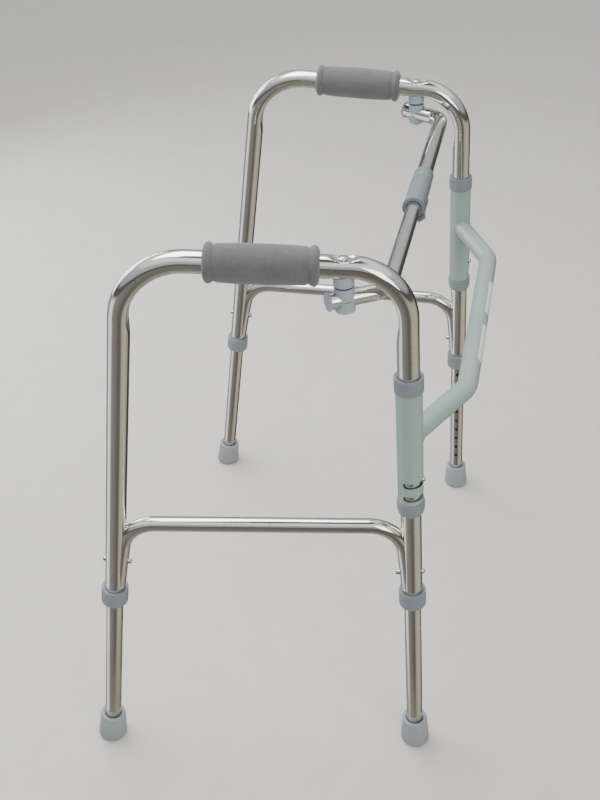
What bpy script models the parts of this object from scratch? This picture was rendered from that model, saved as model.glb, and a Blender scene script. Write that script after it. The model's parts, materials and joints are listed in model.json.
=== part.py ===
"""Adult folding walking frame: two tubular side frames that fold about their front legs on a welded
front crossbar, tied at the top by a telescopic brace, on four height-adjustable legs with rubber feet.

Metres, +Z up. X runs across the frame (the user's right side is -X), the front faces -Y, and the
origin is on the floor under the middle of the whole frame. The part stands as it is used, slightly
askew: the right side frame is swung out to its stop and the left one is a little inside its own.
"""

import math

import bmesh
import bpy
from mathutils import Matrix, Vector

# Driving dimensions
HALF_FRONT = 0.286          # half the distance between the front feet
FOOT_SPAN = 0.441           # front foot to rear foot, along a side frame
SIDE_LEAN = math.radians(1.9)      # both side frames lean inwards by this
FRONT_RAKE = math.radians(3.2)     # the front leg leans back towards its top
REAR_RAKE = math.radians(7.55)     # the rear leg leans forwards towards its top
SWING = {"right": math.radians(10.8), "left": math.radians(-2.7)}   # outwards from straight back
TOP_FRONT, TOP_REAR = 0.755, 0.7664         # axis of the top bar over the two legs
FRONT_BEND, REAR_BEND = 0.065, 0.075

TUBE_R, TUBE_WALL = 0.0127, 0.0012
LOWER_R, LOWER_WALL, LOWER_BEND = 0.0095, 0.0012, 0.045
LOWER_HEIGHT = 0.403
EXTENSION_R, EXTENSION_WALL = 0.0111, 0.0013
GAP = 0.0003                # between touching pieces

FRAME_END = 0.277           # where the main tube of a leg stops, along the leg
COLLAR_LOW, COLLAR_HIGH, COLLAR_R = 0.273, 0.297, 0.0175
SNAP_AT = {"front": 0.3275, "rear": 0.345}
EXTENSION_ABOVE_SNAP = 0.0275
HOLE_PITCH, HOLE_COUNT, HOLE_R = 0.0254, 5, 0.0038
LOW_HOLE_AT = 0.077
INNER_HOLE_AT, INNER_HOLE_PITCH, INNER_HOLE_COUNT, INNER_HOLE_R = 0.0745, 0.0203, 10, 0.0028
BUTTON_R = 0.0032
FOOT_R, FOOT_HEIGHT = 0.0198, 0.044

GRIP_FROM, GRIP_TO = 0.132, 0.253           # along the top bar, measured back from the front foot
PIVOT_AT = 0.108                            # pivot bolt on the top bar, measured the same way

SLEEVE_R, SLEEVE_WALL = 0.0155, 0.0012
SLEEVE_LOW, SLEEVE_HIGH = 0.448, 0.605
BUSH_R, BUSH_LENGTH = 0.017, 0.0197
SLOT_AT, SLOT_HEIGHT = (0.478, 0.458), 0.0085
SLOT_FROM, SLOT_TO = math.radians(-25), math.radians(119)   # from dead ahead round to the outside
LOCK_BUTTON_AT = 0.478

CROSSBAR_HEIGHT, CROSSBAR_FORWARD = 0.54, -0.241
CROSSBAR_HALF_STRAIGHT, CROSSBAR_BEND = 0.165, 0.045
FRONT_FOOT_Y = -0.2186
LABEL_CENTRES, LABEL_LENGTH = (0.041, -0.073), 0.085
LABEL_HALF_ANGLE, LABEL_TILT = math.radians(34), math.radians(20)

BRACE_HEIGHT, BRACE_Y = 0.72, -0.152
BRACE_R = {"left": 0.0105, "right": 0.0091}  # the right half slides inside the left one
BRACE_WALL = 0.001
BRACE_TUBE_END = {"left": -0.036, "right": 0.058}
BRACE_BEND, BRACE_STUB = 0.028, 0.017
BRACE_SPLAY = {"left": 0.020, "right": 0.0270}
BRACE_COLLAR_FROM, BRACE_COLLAR_TO, BRACE_COLLAR_R = -0.057, 0.040, 0.0134
LEVER_HINGE_AT = -0.012
GUIDE_BUSH_AT, GUIDE_BUSH_LENGTH = -0.055, 0.014

PIVOT_TO_BRACE = 0.0372      # from the top bar's axis down to the brace's axis, along the bolt
BUSH_BOTTOM = -0.0206
SADDLE_TOP = {"left": BUSH_BOTTOM - 0.0030, "right": BUSH_BOTTOM - 0.0016}
LOWER_SADDLE_DEPTH, NUT_DEPTH = 0.0137, 0.0172
SADDLE_R, BOLT_R, BOLT_HEAD_R, NUT_R = 0.0112, 0.0025, 0.0056, 0.0045
BRACE_BORE = {"left": BOLT_R + GAP, "right": BOLT_R + 0.0015}

TUBE_SIDES, ROUND, SMALL = 14, 18, 8
DEGREES_PER_RING = 13


# ---------------------------------------------------------------- scene, materials and objects

def clear_scene():
    for old in list(bpy.data.objects):
        bpy.data.objects.remove(old, do_unlink=True)


def finish_material(name, colour, roughness, metallic):
    made = bpy.data.materials.new(name)
    made.use_nodes = True
    shader = made.node_tree.nodes["Principled BSDF"]
    shader.inputs["Base Color"].default_value = (*colour, 1.0)
    shader.inputs["Roughness"].default_value = roughness
    shader.inputs["Metallic"].default_value = metallic
    return made


FINISHES = {
    "chrome": ((0.80, 0.79, 0.76), 0.12, 1.0),
    "brushed": ((0.72, 0.72, 0.70), 0.30, 1.0),
    "sage": ((0.40, 0.48, 0.44), 0.35, 0.0),
    "bush_grey": ((0.33, 0.37, 0.40), 0.45, 0.0),
    "saddle_grey": ((0.45, 0.52, 0.56), 0.45, 0.0),
    "foot_rubber": ((0.50, 0.52, 0.54), 0.60, 0.0),
    "foam": ((0.22, 0.22, 0.21), 0.90, 0.0),
    "steel": ((0.60, 0.60, 0.60), 0.25, 1.0),
    "label": ((0.80, 0.80, 0.80), 0.50, 0.0),
}


def new_empty(name, parent, matrix):
    made = bpy.data.objects.new(name, None)
    made.empty_display_size = 0.02
    bpy.context.scene.collection.objects.link(made)
    made.parent = parent
    made.matrix_local = matrix
    return made


def new_object(name, bm, finish, parent, matrix=None):
    """An object from a bmesh, with its own material, placed in its parent's frame."""
    bmesh.ops.recalc_face_normals(bm, faces=bm.faces)
    mesh = bpy.data.meshes.new(name)
    bm.to_mesh(mesh)
    bm.free()
    mesh.shade_smooth()
    mesh.set_sharp_from_angle(angle=math.radians(35))
    made = bpy.data.objects.new(name, mesh)
    bpy.context.scene.collection.objects.link(made)
    made.parent = parent
    made.matrix_local = matrix or Matrix.Identity(4)
    if finish:
        mesh.materials.append(finish_material(name, *FINISHES[finish]))
    return made


def new_cutter(name, bm, parent, matrix=None):
    made = new_object(name, bm, None, parent, matrix)
    made.hide_render = True
    made.display_type = "WIRE"
    return made


def cut(target, *cutters):
    for cutter in cutters:
        boolean = target.modifiers.new("cut " + cutter.name, "BOOLEAN")
        boolean.operation = "DIFFERENCE"
        boolean.object = cutter


# ---------------------------------------------------------------- shapes

def turned(profile, segments=ROUND):
    """A solid of revolution about Z from a closed outline of (radius, height) points."""
    bm = bmesh.new()
    rings = []
    for radius, height in profile:
        if radius == 0:
            rings.append([bm.verts.new((0, 0, height))])
            continue
        angles = (2 * math.pi * i / segments for i in range(segments))
        rings.append([bm.verts.new((radius * math.cos(a), radius * math.sin(a), height)) for a in angles])
    for first, second in zip(rings, rings[1:] + rings[:1]):
        if len(first) == 1 and len(second) == 1:
            continue
        for i in range(segments):
            j = (i + 1) % segments
            corners = {first[i % len(first)]: None, first[j % len(first)]: None,
                       second[j % len(second)]: None, second[i % len(second)]: None}
            bm.faces.new(list(corners))
    return bm


def rod(radius, low, high, segments=SMALL):
    return turned([(0, low), (radius, low), (radius, high), (0, high)], segments)


def rounded_path(corners, radii):
    """The points of a polyline through corners, with an arc of the given radius at each inner one."""
    points = [corners[0]]
    for before, corner, after, radius in zip(corners, corners[1:], corners[2:], radii):
        inward = (before - corner).normalized()
        outward = (after - corner).normalized()
        half = inward.angle(outward) / 2
        reach = radius / math.tan(half)
        centre = corner + (inward + outward).normalized() * (radius / math.sin(half))
        start = corner + inward * reach - centre
        finish = corner + outward * reach - centre
        steps = max(2, math.ceil(math.degrees(start.angle(finish)) / DEGREES_PER_RING))
        points += [centre + radius * start.slerp(finish, i / steps) for i in range(steps + 1)]
    return points + [corners[-1]]


def swept_tube(points, binormal, outer, inner=0.0, sides=TUBE_SIDES):
    """A round tube, or a rod when inner is 0, along points that lie in a plane normal to binormal."""
    bm = bmesh.new()
    shells = []
    for radius in filter(None, (outer, inner)):
        rings = []
        for i, point in enumerate(points):
            tangent = (points[min(i + 1, len(points) - 1)] - points[max(i - 1, 0)]).normalized()
            normal = binormal.cross(tangent)
            turns = (2 * math.pi * (k + 0.5) / sides for k in range(sides))
            around = [point + radius * (normal * math.cos(t) + binormal * math.sin(t)) for t in turns]
            rings.append([bm.verts.new(place) for place in around])
        for first, second in zip(rings, rings[1:]):
            for k in range(sides):
                j = (k + 1) % sides
                bm.faces.new((first[k], first[j], second[j], second[k]))
        shells.append(rings)
    for end in (0, -1):
        if len(shells) == 1:
            bm.faces.new(shells[0][end])
            continue
        for k in range(sides):
            j = (k + 1) % sides
            bm.faces.new((shells[0][end][k], shells[0][end][j], shells[1][end][j], shells[1][end][k]))
    return bm


def ring_sector(inner, outer, low, high, start, stop, steps):
    """A stretch of a square-sectioned ring about Z, between two angles."""
    bm = bmesh.new()
    sections = []
    for i in range(steps + 1):
        angle = start + (stop - start) * i / steps
        outline = ((inner, low), (outer, low), (outer, high), (inner, high))
        sections.append([bm.verts.new((r * math.cos(angle), r * math.sin(angle), z)) for r, z in outline])
    for first, second in zip(sections, sections[1:]):
        for k in range(4):
            j = (k + 1) % 4
            bm.faces.new((first[k], first[j], second[j], second[k]))
    bm.faces.new(sections[0])
    bm.faces.new(sections[-1])
    return bm


def along_x(direction=1):
    """A frame whose +Z lies along +X, or along -X."""
    return Matrix.Rotation(math.radians(90 * direction), 4, "Y")


# ---------------------------------------------------------------- the planes and axes of the frame

def side_matrix(side):
    """The side frame's own plane: +X back along the floor, +Z up in the plane, from the front foot."""
    sign = -1 if side == "right" else 1
    back = Vector((sign * math.sin(SWING[side]), math.cos(SWING[side]), 0))
    rise = Vector((-sign * math.tan(SIDE_LEAN), 0, 1))
    up = (rise - back * rise.dot(back)).normalized()
    matrix = Matrix((back, up.cross(back), up)).transposed().to_4x4()
    matrix.translation = (sign * HALF_FRONT, FRONT_FOOT_Y, 0)
    return matrix


def leg_matrix(leg):
    """In the side frame's plane: +Z up along the leg's axis, +X towards the other leg, from the foot."""
    if leg == "front":
        return Matrix.Rotation(FRONT_RAKE, 4, "Y")
    turned_round = Matrix.Rotation(math.pi, 4, "Z")
    return Matrix.Translation((FOOT_SPAN, 0, 0)) @ Matrix.Rotation(-REAR_RAKE, 4, "Y") @ turned_round


def leg_point(leg, height):
    """The leg's axis at a height in the side frame's plane."""
    if leg == "front":
        return Vector((height * math.tan(FRONT_RAKE), 0, height))
    return Vector((FOOT_SPAN - height * math.tan(REAR_RAKE), 0, height))


def top_bar_height(back):
    front, rear = leg_point("front", TOP_FRONT), leg_point("rear", TOP_REAR)
    return TOP_FRONT + (TOP_REAR - TOP_FRONT) * (back - front.x) / (rear.x - front.x)


def top_bar_slope():
    front, rear = leg_point("front", TOP_FRONT), leg_point("rear", TOP_REAR)
    return math.atan2(TOP_REAR - TOP_FRONT, rear.x - front.x)


def pivot_matrix():
    """In the side frame's plane: +Z up along the pivot bolt, which is parallel to the front leg."""
    centre = Vector((PIVOT_AT, 0, top_bar_height(PIVOT_AT)))
    return Matrix.Translation(centre) @ Matrix.Rotation(FRONT_RAKE, 4, "Y")


# ---------------------------------------------------------------- side frames

def side_path():
    """The axis of the side frame's main tube: up the front leg, along the top bar, down the rear leg."""
    corners = [leg_point("front", FRAME_END), leg_point("front", TOP_FRONT),
               leg_point("rear", TOP_REAR), leg_point("rear", FRAME_END)]
    return rounded_path(corners, (FRONT_BEND, REAR_BEND))


def build_side_tube(name, plane, hole_cutters):
    bm = swept_tube(side_path(), Vector((0, 1, 0)), TUBE_R, TUBE_R - TUBE_WALL)
    cut(new_object(name, bm, "chrome", plane), *hole_cutters)


def build_lower_brace(name, plane, cutters):
    """The horizontal bar low on the side frame; its ends turn down and are coped to the legs."""
    tail, corner = 0.0055, 0.012
    tail_height = COLLAR_HIGH + 5 * GAP
    corners = [leg_point("front", tail_height) + Vector((tail, 0, 0)),
               leg_point("front", LOWER_HEIGHT) + Vector((corner, 0, 0)),
               leg_point("rear", LOWER_HEIGHT) - Vector((corner, 0, 0)),
               leg_point("rear", tail_height) - Vector((tail, 0, 0))]
    path = rounded_path(corners, (LOWER_BEND, LOWER_BEND))
    bm = swept_tube(path, Vector((0, 1, 0)), LOWER_R, LOWER_R - LOWER_WALL, 12)
    cut(new_object(name, bm, "chrome", plane), *cutters)


def build_grip(name, plane):
    """A barrel-shaped foam sleeve with a bead at each end, on the top bar."""
    bore = TUBE_R + GAP
    middle = (GRIP_FROM + GRIP_TO) / 2
    half = (GRIP_TO - GRIP_FROM) / 2
    barrel, neck, bead = 0.0212, 0.0194, 0.0214
    outline = [(bore, -half), (bead - 0.002, -half), (bead, -half + 0.003), (bead, -half + 0.007),
               (neck, -half + 0.0105), (barrel - 0.0006, -0.3 * half), (barrel, 0.15 * half),
               (barrel - 0.0006, 0.6 * half), (neck, half - 0.0105), (bead - 0.0005, half - 0.007),
               (bead - 0.0005, half - 0.003), (bead - 0.0025, half), (bore, half)]
    centre = Vector((middle, 0, top_bar_height(middle)))
    place = Matrix.Translation(centre) @ Matrix.Rotation(math.pi / 2 - top_bar_slope(), 4, "Y")
    return new_object(name, turned(outline), "foam", plane, place)


def build_leg_collar(name, axis):
    """The plastic ring that closes the end of the main tube and guides the extension."""
    step = FRAME_END - GAP
    outline = [(EXTENSION_R + GAP, COLLAR_LOW), (COLLAR_R - 0.0015, COLLAR_LOW),
               (COLLAR_R, COLLAR_LOW + 0.0015), (COLLAR_R, COLLAR_HIGH - 0.0015),
               (COLLAR_R - 0.0015, COLLAR_HIGH), (TUBE_R + GAP, COLLAR_HIGH),
               (TUBE_R + GAP, step), (EXTENSION_R + GAP, step)]
    return new_object(name, turned(outline), "bush_grey", axis)


def build_extension(name, leg, axis, inward):
    """The telescopic leg tube, with snap holes fore and aft, and a row on the inner face in front."""
    snap = SNAP_AT[leg]
    inner = EXTENSION_R - EXTENSION_WALL
    low, high = 0.008, snap + EXTENSION_ABOVE_SNAP
    outline = [(inner, low), (EXTENSION_R, low), (EXTENSION_R, high), (inner, high)]
    tube = new_object(name, turned(outline, TUBE_SIDES), "brushed", axis)
    heights = [snap - i * HOLE_PITCH for i in range(HOLE_COUNT)] + [LOW_HOLE_AT]
    for i, height in enumerate(heights):
        through = Matrix.Translation((0, 0, height)) @ along_x()
        cut(tube, new_cutter(f"{name}_hole_{i}", rod(HOLE_R, -0.02, 0.02, 6), axis, through))
    if leg == "front":
        for i in range(INNER_HOLE_COUNT):
            height = INNER_HOLE_AT + i * INNER_HOLE_PITCH
            drill = Matrix.Translation((0, 0, height)) @ Matrix.Rotation(-inward * math.pi / 2, 4, "X")
            cut(tube, new_cutter(f"{name}_mark_{i}", rod(INNER_HOLE_R, 0.005, 0.02, 6), axis, drill))
    return tube


def build_foot(name, axis, floor):
    """A rubber tip that flares to its sole, which stands flat on the floor."""
    bore = EXTENSION_R + GAP
    outline = [(0, -0.006), (FOOT_R, -0.006), (FOOT_R, 0.006), (FOOT_R - 0.001, 0.010),
               (0.0172, 0.030), (0.0170, FOOT_HEIGHT - 0.002), (0.0155, FOOT_HEIGHT),
               (bore, FOOT_HEIGHT), (bore, 0.008 - GAP), (0, 0.008 - GAP)]
    foot = new_object(name, turned(outline), "foot_rubber", axis)
    cut(foot, floor)
    return foot


def build_snap_button(name, leg, axis, towards_other_leg):
    """One end of the double-ended snap button, longer where it also passes through the lower bar."""
    reach = 0.0212 if towards_other_leg > 0 else 0.0166
    start = EXTENSION_R + GAP
    outline = [(0, start), (BUTTON_R, start), (BUTTON_R, reach - 0.0016), (0.6 * BUTTON_R, reach - 0.0004),
               (0, reach)]
    place = Matrix.Translation((0, 0, SNAP_AT[leg])) @ along_x(towards_other_leg)
    return new_object(name, turned(outline, 10), "steel", axis, place)


def build_snap_spring(name, leg, axis):
    """The bent leaf inside the extension that pushes both snap buttons out."""
    height = SNAP_AT[leg]
    half_width, thick = 0.003, 0.0008
    leaf = [(0.0066, 0.004), (0.0050, -0.014), (0.0020, -0.022), (-0.0020, -0.022), (-0.0050, -0.014),
            (-0.0066, 0.004)]
    bm = bmesh.new()
    sections = []
    for i, (x, z) in enumerate(leaf):
        before, after = leaf[max(i - 1, 0)], leaf[min(i + 1, len(leaf) - 1)]
        along = Vector((after[0] - before[0], 0, after[1] - before[1])).normalized()
        across = Vector((0, 1, 0)).cross(along) * (thick / 2)
        middle = Vector((x, 0, height + z))
        corners = ((across, -1), (across, 1), (-across, 1), (-across, -1))
        sections.append([bm.verts.new(middle + push + Vector((0, half_width * s, 0))) for push, s in corners])
    for first, second in zip(sections, sections[1:]):
        for k in range(4):
            j = (k + 1) % 4
            bm.faces.new((first[k], first[j], second[j], second[k]))
    bm.faces.new(sections[0])
    bm.faces.new(sections[-1])
    return new_object(name, bm, "steel", axis)


def build_lock_button(name, axis):
    """The stop button of the fold, on the front leg, standing in the sleeve's upper slot."""
    start, reach = TUBE_R - TUBE_WALL + GAP, 0.0180
    outline = [(0, start), (BUTTON_R, start), (BUTTON_R, reach - 0.0014), (0.6 * BUTTON_R, reach - 0.0003),
               (0, reach)]
    place = Matrix.Translation((0, 0, LOCK_BUTTON_AT)) @ along_x(-1)
    return new_object(name, turned(outline, 10), "steel", axis, place)


def build_leg(side, leg, plane, floor):
    axis = new_empty(f"{side}_{leg}_leg_axis", plane, leg_matrix(leg))
    slide = new_empty(f"{side}_{leg}_extension_slide", axis, Matrix.Identity(4))
    inner_face = 1 if side == "left" else -1
    build_leg_collar(f"{side}_{leg}_leg_collar", axis)
    build_extension(f"{side}_{leg}_leg_extension", leg, slide, inner_face)
    build_foot(f"{side}_{leg}_foot_tip", slide, floor)
    build_snap_spring(f"{side}_{leg}_snap_spring", leg, axis)
    build_snap_button(f"{side}_{leg}_snap_button_inner", leg, axis, 1)
    build_snap_button(f"{side}_{leg}_snap_button_outer", leg, axis, -1)
    through = Matrix.Translation((0, 0, SNAP_AT[leg])) @ along_x()
    snap_hole = new_cutter(f"{side}_{leg}_snap_hole", rod(BUTTON_R + GAP, -0.03, 0.03, 10), axis, through)
    cope = new_cutter(f"{side}_{leg}_cope", rod(TUBE_R + GAP, 0.2, 0.5, TUBE_SIDES * 2), axis)
    return axis, snap_hole, cope


def build_side(side, root, floor):
    plane = new_empty(f"{side}_side", root, side_matrix(side))
    front_axis, front_snap, front_cope = build_leg(side, "front", plane, floor)
    _, rear_snap, rear_cope = build_leg(side, "rear", plane, floor)
    ahead = Matrix.Translation((0, 0, LOCK_BUTTON_AT)) @ along_x(-1)
    lock_hole = new_cutter(f"{side}_lock_hole", rod(BUTTON_R + GAP, 0.005, 0.03, 10), front_axis, ahead)
    pivot = new_empty(f"{side}_pivot_axis", plane, pivot_matrix())
    bolt_hole = new_cutter(f"{side}_bolt_hole", rod(0.0028, -0.02, 0.02, 10), pivot)
    build_side_tube(f"{side}_side_frame_tube", plane, (front_snap, rear_snap, lock_hole, bolt_hole))
    build_lower_brace(f"{side}_lower_bar", plane, (front_cope, rear_cope, front_snap, rear_snap))
    build_grip(f"{side}_hand_grip", plane)
    build_lock_button(f"{side}_fold_stop_button", front_axis)
    build_pivot_bolt(side, pivot)
    build_upper_bush(f"{side}_pivot_bush", pivot, plane, side)


# ---------------------------------------------------------------- pivots under the top bars

def build_pivot_bolt(side, pivot):
    """The domed bolt down through the top bar. On the right it also carries the brace, on a nut."""
    top = TUBE_R + GAP
    bottom = {"left": BUSH_BOTTOM + 0.001, "right": 0.0008 - PIVOT_TO_BRACE - NUT_DEPTH}[side]
    outline = [(0, bottom), (BOLT_R, bottom), (BOLT_R, top), (BOLT_HEAD_R, top), (BOLT_HEAD_R, top + 0.0012),
               (0.7 * BOLT_HEAD_R, top + 0.0028), (0, top + 0.0034)]
    new_object(f"{side}_pivot_bolt", turned(outline, 12), "steel", pivot)


def build_upper_bush(name, pivot, plane, side):
    """The plastic ring between the top bar and the brace, hollowed to seat on the bar."""
    bore = BOLT_R + GAP
    outline = [(bore, BUSH_BOTTOM), (SADDLE_R, BUSH_BOTTOM), (SADDLE_R, -0.009), (bore, -0.009)]
    bush = new_object(name, turned(outline), "saddle_grey", pivot)
    bar = swept_tube(side_path(), Vector((0, 1, 0)), TUBE_R + GAP)
    cut(bush, new_cutter(f"{side}_bush_seat", bar, plane))


def build_brace_end(side, end, seat):
    """Saddles above and below the brace's end, and what holds them: a nut, or a bolt with its nut."""
    brace, bore, top = -PIVOT_TO_BRACE, BRACE_BORE[side], SADDLE_TOP[side]
    bottom = brace - LOWER_SADDLE_DEPTH
    upper = [(bore, brace + 0.002), (SADDLE_R, brace + 0.002), (SADDLE_R, top), (bore, top)]
    lower = [(bore, bottom), (SADDLE_R - 0.002, bottom), (SADDLE_R, bottom + 0.002),
             (SADDLE_R, brace - 0.003), (bore, brace - 0.003)]
    for level, outline in (("upper", upper), ("lower", lower)):
        saddle = new_object(f"{side}_brace_{level}_saddle", turned(outline), "saddle_grey", end)
        cut(saddle, seat)
    nut_top, nut_bottom = bottom - GAP, brace - NUT_DEPTH
    if side == "right":
        thread = BOLT_R + 2 * GAP
        outline = [(thread, nut_bottom), (NUT_R, nut_bottom), (NUT_R, nut_top), (thread, nut_top)]
        new_object("right_pivot_nut", turned(outline, 6), "steel", end)
        return
    outline = [(0, nut_bottom), (NUT_R, nut_bottom), (NUT_R, nut_top), (BOLT_R, nut_top),
               (BOLT_R, top - 0.001), (0, top - 0.001)]
    new_object("left_brace_bolt", turned(outline, 12), "steel", end)


# ---------------------------------------------------------------- telescopic brace

def brace_corners(side):
    """The plug end, the bend and the pivot of the brace half on this side."""
    sign = -1 if side == "right" else 1
    pivot = side_matrix(side) @ pivot_matrix() @ Vector((0, 0, -PIVOT_TO_BRACE))
    pivot.z = BRACE_HEIGHT
    bend = Vector((pivot.x - sign * BRACE_SPLAY[side], BRACE_Y, BRACE_HEIGHT))
    return pivot + (pivot - bend).normalized() * BRACE_STUB, bend, pivot


def facing(place, direction):
    """A frame at a place whose +Z lies along a direction."""
    return Matrix.Translation(place) @ direction.to_track_quat("Z", "Y").to_matrix().to_4x4()


def build_brace_tube(name, side, parent, bolt_hole):
    plug_end, bend, _ = brace_corners(side)
    middle = Vector((BRACE_TUBE_END[side], BRACE_Y, BRACE_HEIGHT))
    path = rounded_path([plug_end, bend, middle], (BRACE_BEND,))
    shape = swept_tube(path, Vector((0, 0, 1)), BRACE_R[side], BRACE_R[side] - BRACE_WALL, 12)
    cut(new_object(name, shape, "chrome", parent), bolt_hole)


def build_end_plug(name, side, parent):
    plug_end, bend, _ = brace_corners(side)
    stem, cap = BRACE_R[side] - BRACE_WALL - 2 * GAP, BRACE_R[side] + 0.0008
    outline = [(0, -0.007), (stem, -0.007), (stem, GAP), (cap, GAP), (cap, 0.0018), (cap - 0.0012, 0.003),
               (0, 0.003)]
    new_object(name, turned(outline, 12), "saddle_grey", parent, facing(plug_end, plug_end - bend))


def release_matrix():
    """Where the release lever hangs: +Z along the brace towards the left, +Y away from its axis."""
    outwards = Vector((0, -math.sin(math.radians(40)), -math.cos(math.radians(40))))
    along = Vector((1, 0, 0))
    matrix = Matrix((outwards.cross(along), outwards, along)).transposed().to_4x4()
    matrix.translation = (LEVER_HINGE_AT, BRACE_Y, BRACE_HEIGHT)
    return matrix


def build_brace_collar(parent):
    """The moulded sleeve over the joint of the two tubes: lip, body, groove and neck."""
    start, stop, radius = BRACE_COLLAR_FROM, BRACE_COLLAR_TO, BRACE_COLLAR_R
    loose, tight = BRACE_R["right"] + GAP, BRACE_R["left"] + GAP
    step = BRACE_TUBE_END["left"] - GAP
    outline = [(loose, start), (radius + 0.0008, start), (radius + 0.0008, start + 0.006),
               (radius, start + 0.0075), (radius, stop - 0.026), (radius - 0.0014, stop - 0.024),
               (radius - 0.0014, stop - 0.020), (radius - 0.0005, stop - 0.018), (radius - 0.0005, stop),
               (tight, stop), (tight, step), (loose, step)]
    place = Matrix.Translation((0, BRACE_Y, BRACE_HEIGHT)) @ along_x()
    collar = new_object("brace_collar", turned(outline), "bush_grey", parent, place)
    pocket = box_mesh((-0.0055, radius - 0.0010, -0.050), (0.0055, 0.03, 0.0015))
    cut(collar, new_cutter("release_pocket", pocket, parent, release_matrix()))


def box_mesh(low, high):
    bm = bmesh.new()
    bmesh.ops.create_cube(bm, size=1.0)
    size = Vector(high) - Vector(low)
    middle = (Vector(high) + Vector(low)) / 2
    bmesh.ops.transform(bm, matrix=Matrix.Translation(middle) @ Matrix.Diagonal((*size, 1)), verts=bm.verts)
    return bm


def build_release_lever(parent):
    """The finger lever along the underside of the collar, hinged at its left end."""
    inner, outer, half_width = BRACE_COLLAR_R - 0.0007, BRACE_COLLAR_R + 0.0022, 0.0050
    outline = [(inner, 0.001), (outer - 0.001, 0.001), (outer, -0.004), (outer, -0.036),
               (outer + 0.003, -0.044), (outer + 0.003, -0.048), (outer + 0.0014, -0.0495),
               (inner + 0.0016, -0.0462), (inner, -0.043)]
    bm = bmesh.new()
    edges = []
    for across in (-half_width, half_width):
        edges.append([bm.verts.new((across, out, along)) for out, along in outline])
        bm.faces.new(edges[-1])
    for k in range(len(outline)):
        j = (k + 1) % len(outline)
        bm.faces.new((edges[0][k], edges[0][j], edges[1][j], edges[1][k]))
    new_object("brace_release_lever", bm, "bush_grey", parent, release_matrix())


def build_guide_bush(parent):
    """The slider inside the inner brace tube."""
    outer = BRACE_R["right"] - BRACE_WALL - GAP
    low, high = GUIDE_BUSH_AT - GUIDE_BUSH_LENGTH / 2, GUIDE_BUSH_AT + GUIDE_BUSH_LENGTH / 2
    outline = [(0.0045, low), (outer, low), (outer, high), (0.0045, high)]
    place = Matrix.Translation((0, BRACE_Y, BRACE_HEIGHT)) @ along_x()
    new_object("brace_guide_bush", turned(outline, 12), "bush_grey", parent, place)


def build_pivot_washer(pivot):
    """The thin washer between the right pivot's bush and saddle."""
    low, high = SADDLE_TOP["right"] + GAP, BUSH_BOTTOM - GAP
    outline = [(0.003, low), (SADDLE_R - 0.0004, low), (SADDLE_R - 0.0004, high), (0.003, high)]
    new_object("right_pivot_washer", turned(outline, 12), "steel", pivot)


def build_brace(root):
    brace = new_empty("brace", root, Matrix.Identity(4))
    for side, name in (("left", "brace_outer_tube"), ("right", "brace_inner_tube")):
        end = new_empty(f"{side}_brace_end", brace, side_matrix(side) @ pivot_matrix())
        bolt_hole = new_cutter(f"{side}_brace_bolt_hole", rod(BRACE_BORE[side] + GAP, -0.07, 0.0, 10), end)
        build_brace_tube(name, side, brace, bolt_hole)
        build_end_plug(f"{side}_brace_end_plug", side, brace)
        _, bend, pivot = brace_corners(side)
        seat = rod(BRACE_R[side] + GAP, -0.05, 0.05, 24)
        build_brace_end(side, end, new_cutter(f"{side}_seat", seat, brace, facing(pivot, pivot - bend)))
    build_brace_collar(brace)
    build_release_lever(brace)
    build_guide_bush(brace)
    build_pivot_washer(new_empty("washer_axis", brace, side_matrix("right") @ pivot_matrix()))


# ---------------------------------------------------------------- front crossbar and sleeves

def build_crossbar(root):
    corners = []
    for side, sign in (("right", -1), ("left", 1)):
        on_leg = side_matrix(side) @ leg_matrix("front") @ Vector((0, 0, CROSSBAR_HEIGHT))
        bend = Vector((sign * CROSSBAR_HALF_STRAIGHT, CROSSBAR_FORWARD, CROSSBAR_HEIGHT))
        on_leg.z = CROSSBAR_HEIGHT
        corners.append((on_leg, bend))
    line = [corners[0][0], corners[0][1], corners[1][1], corners[1][0]]
    path = rounded_path(line, (CROSSBAR_BEND, CROSSBAR_BEND))
    tube = swept_tube(path, Vector((0, 0, 1)), TUBE_R, TUBE_R - TUBE_WALL)
    return new_object("front_crossbar", tube, "sage", root)


def sleeve_matrix(side):
    """The front leg's axis with +X dead ahead, turned about the axis, and +Y to the left."""
    sign = -1 if side == "right" else 1
    direction = (side_matrix(side) @ leg_matrix("front")).to_3x3() @ Vector((0, 0, 1))
    ahead = Vector((0, -1, 0))
    ahead = (ahead - direction * ahead.dot(direction)).normalized()
    matrix = Matrix((ahead, direction.cross(ahead), direction)).transposed().to_4x4()
    matrix.translation = (sign * HALF_FRONT, FRONT_FOOT_Y, 0)
    return matrix


def build_sleeve(side, root, crossbar):
    axis = new_empty(f"{side}_sleeve_axis", root, sleeve_matrix(side))
    bore = SLEEVE_R - SLEEVE_WALL
    outline = [(bore, SLEEVE_LOW), (SLEEVE_R, SLEEVE_LOW), (SLEEVE_R, SLEEVE_HIGH), (bore, SLEEVE_HIGH)]
    sleeve = new_object(f"{side}_sleeve", turned(outline), "sage", axis)
    outside = -1 if side == "right" else 1
    for i, height in enumerate(SLOT_AT):
        low, high = height - SLOT_HEIGHT / 2, height + SLOT_HEIGHT / 2
        angles = sorted((outside * SLOT_FROM, outside * SLOT_TO))
        sector = ring_sector(0.0132, 0.018, low, high, *angles, 14)
        cut(sleeve, new_cutter(f"{side}_slot_{i}", sector, axis))
    cope = new_cutter(f"{side}_sleeve_cope", rod(SLEEVE_R + GAP, 0.4, 0.65, 28), axis)
    cut(crossbar, cope)
    for end, height, direction in (("top", SLEEVE_HIGH, 1), ("bottom", SLEEVE_LOW, -1)):
        build_sleeve_bush(f"{side}_sleeve_{end}_bush", axis, height, direction)


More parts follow.
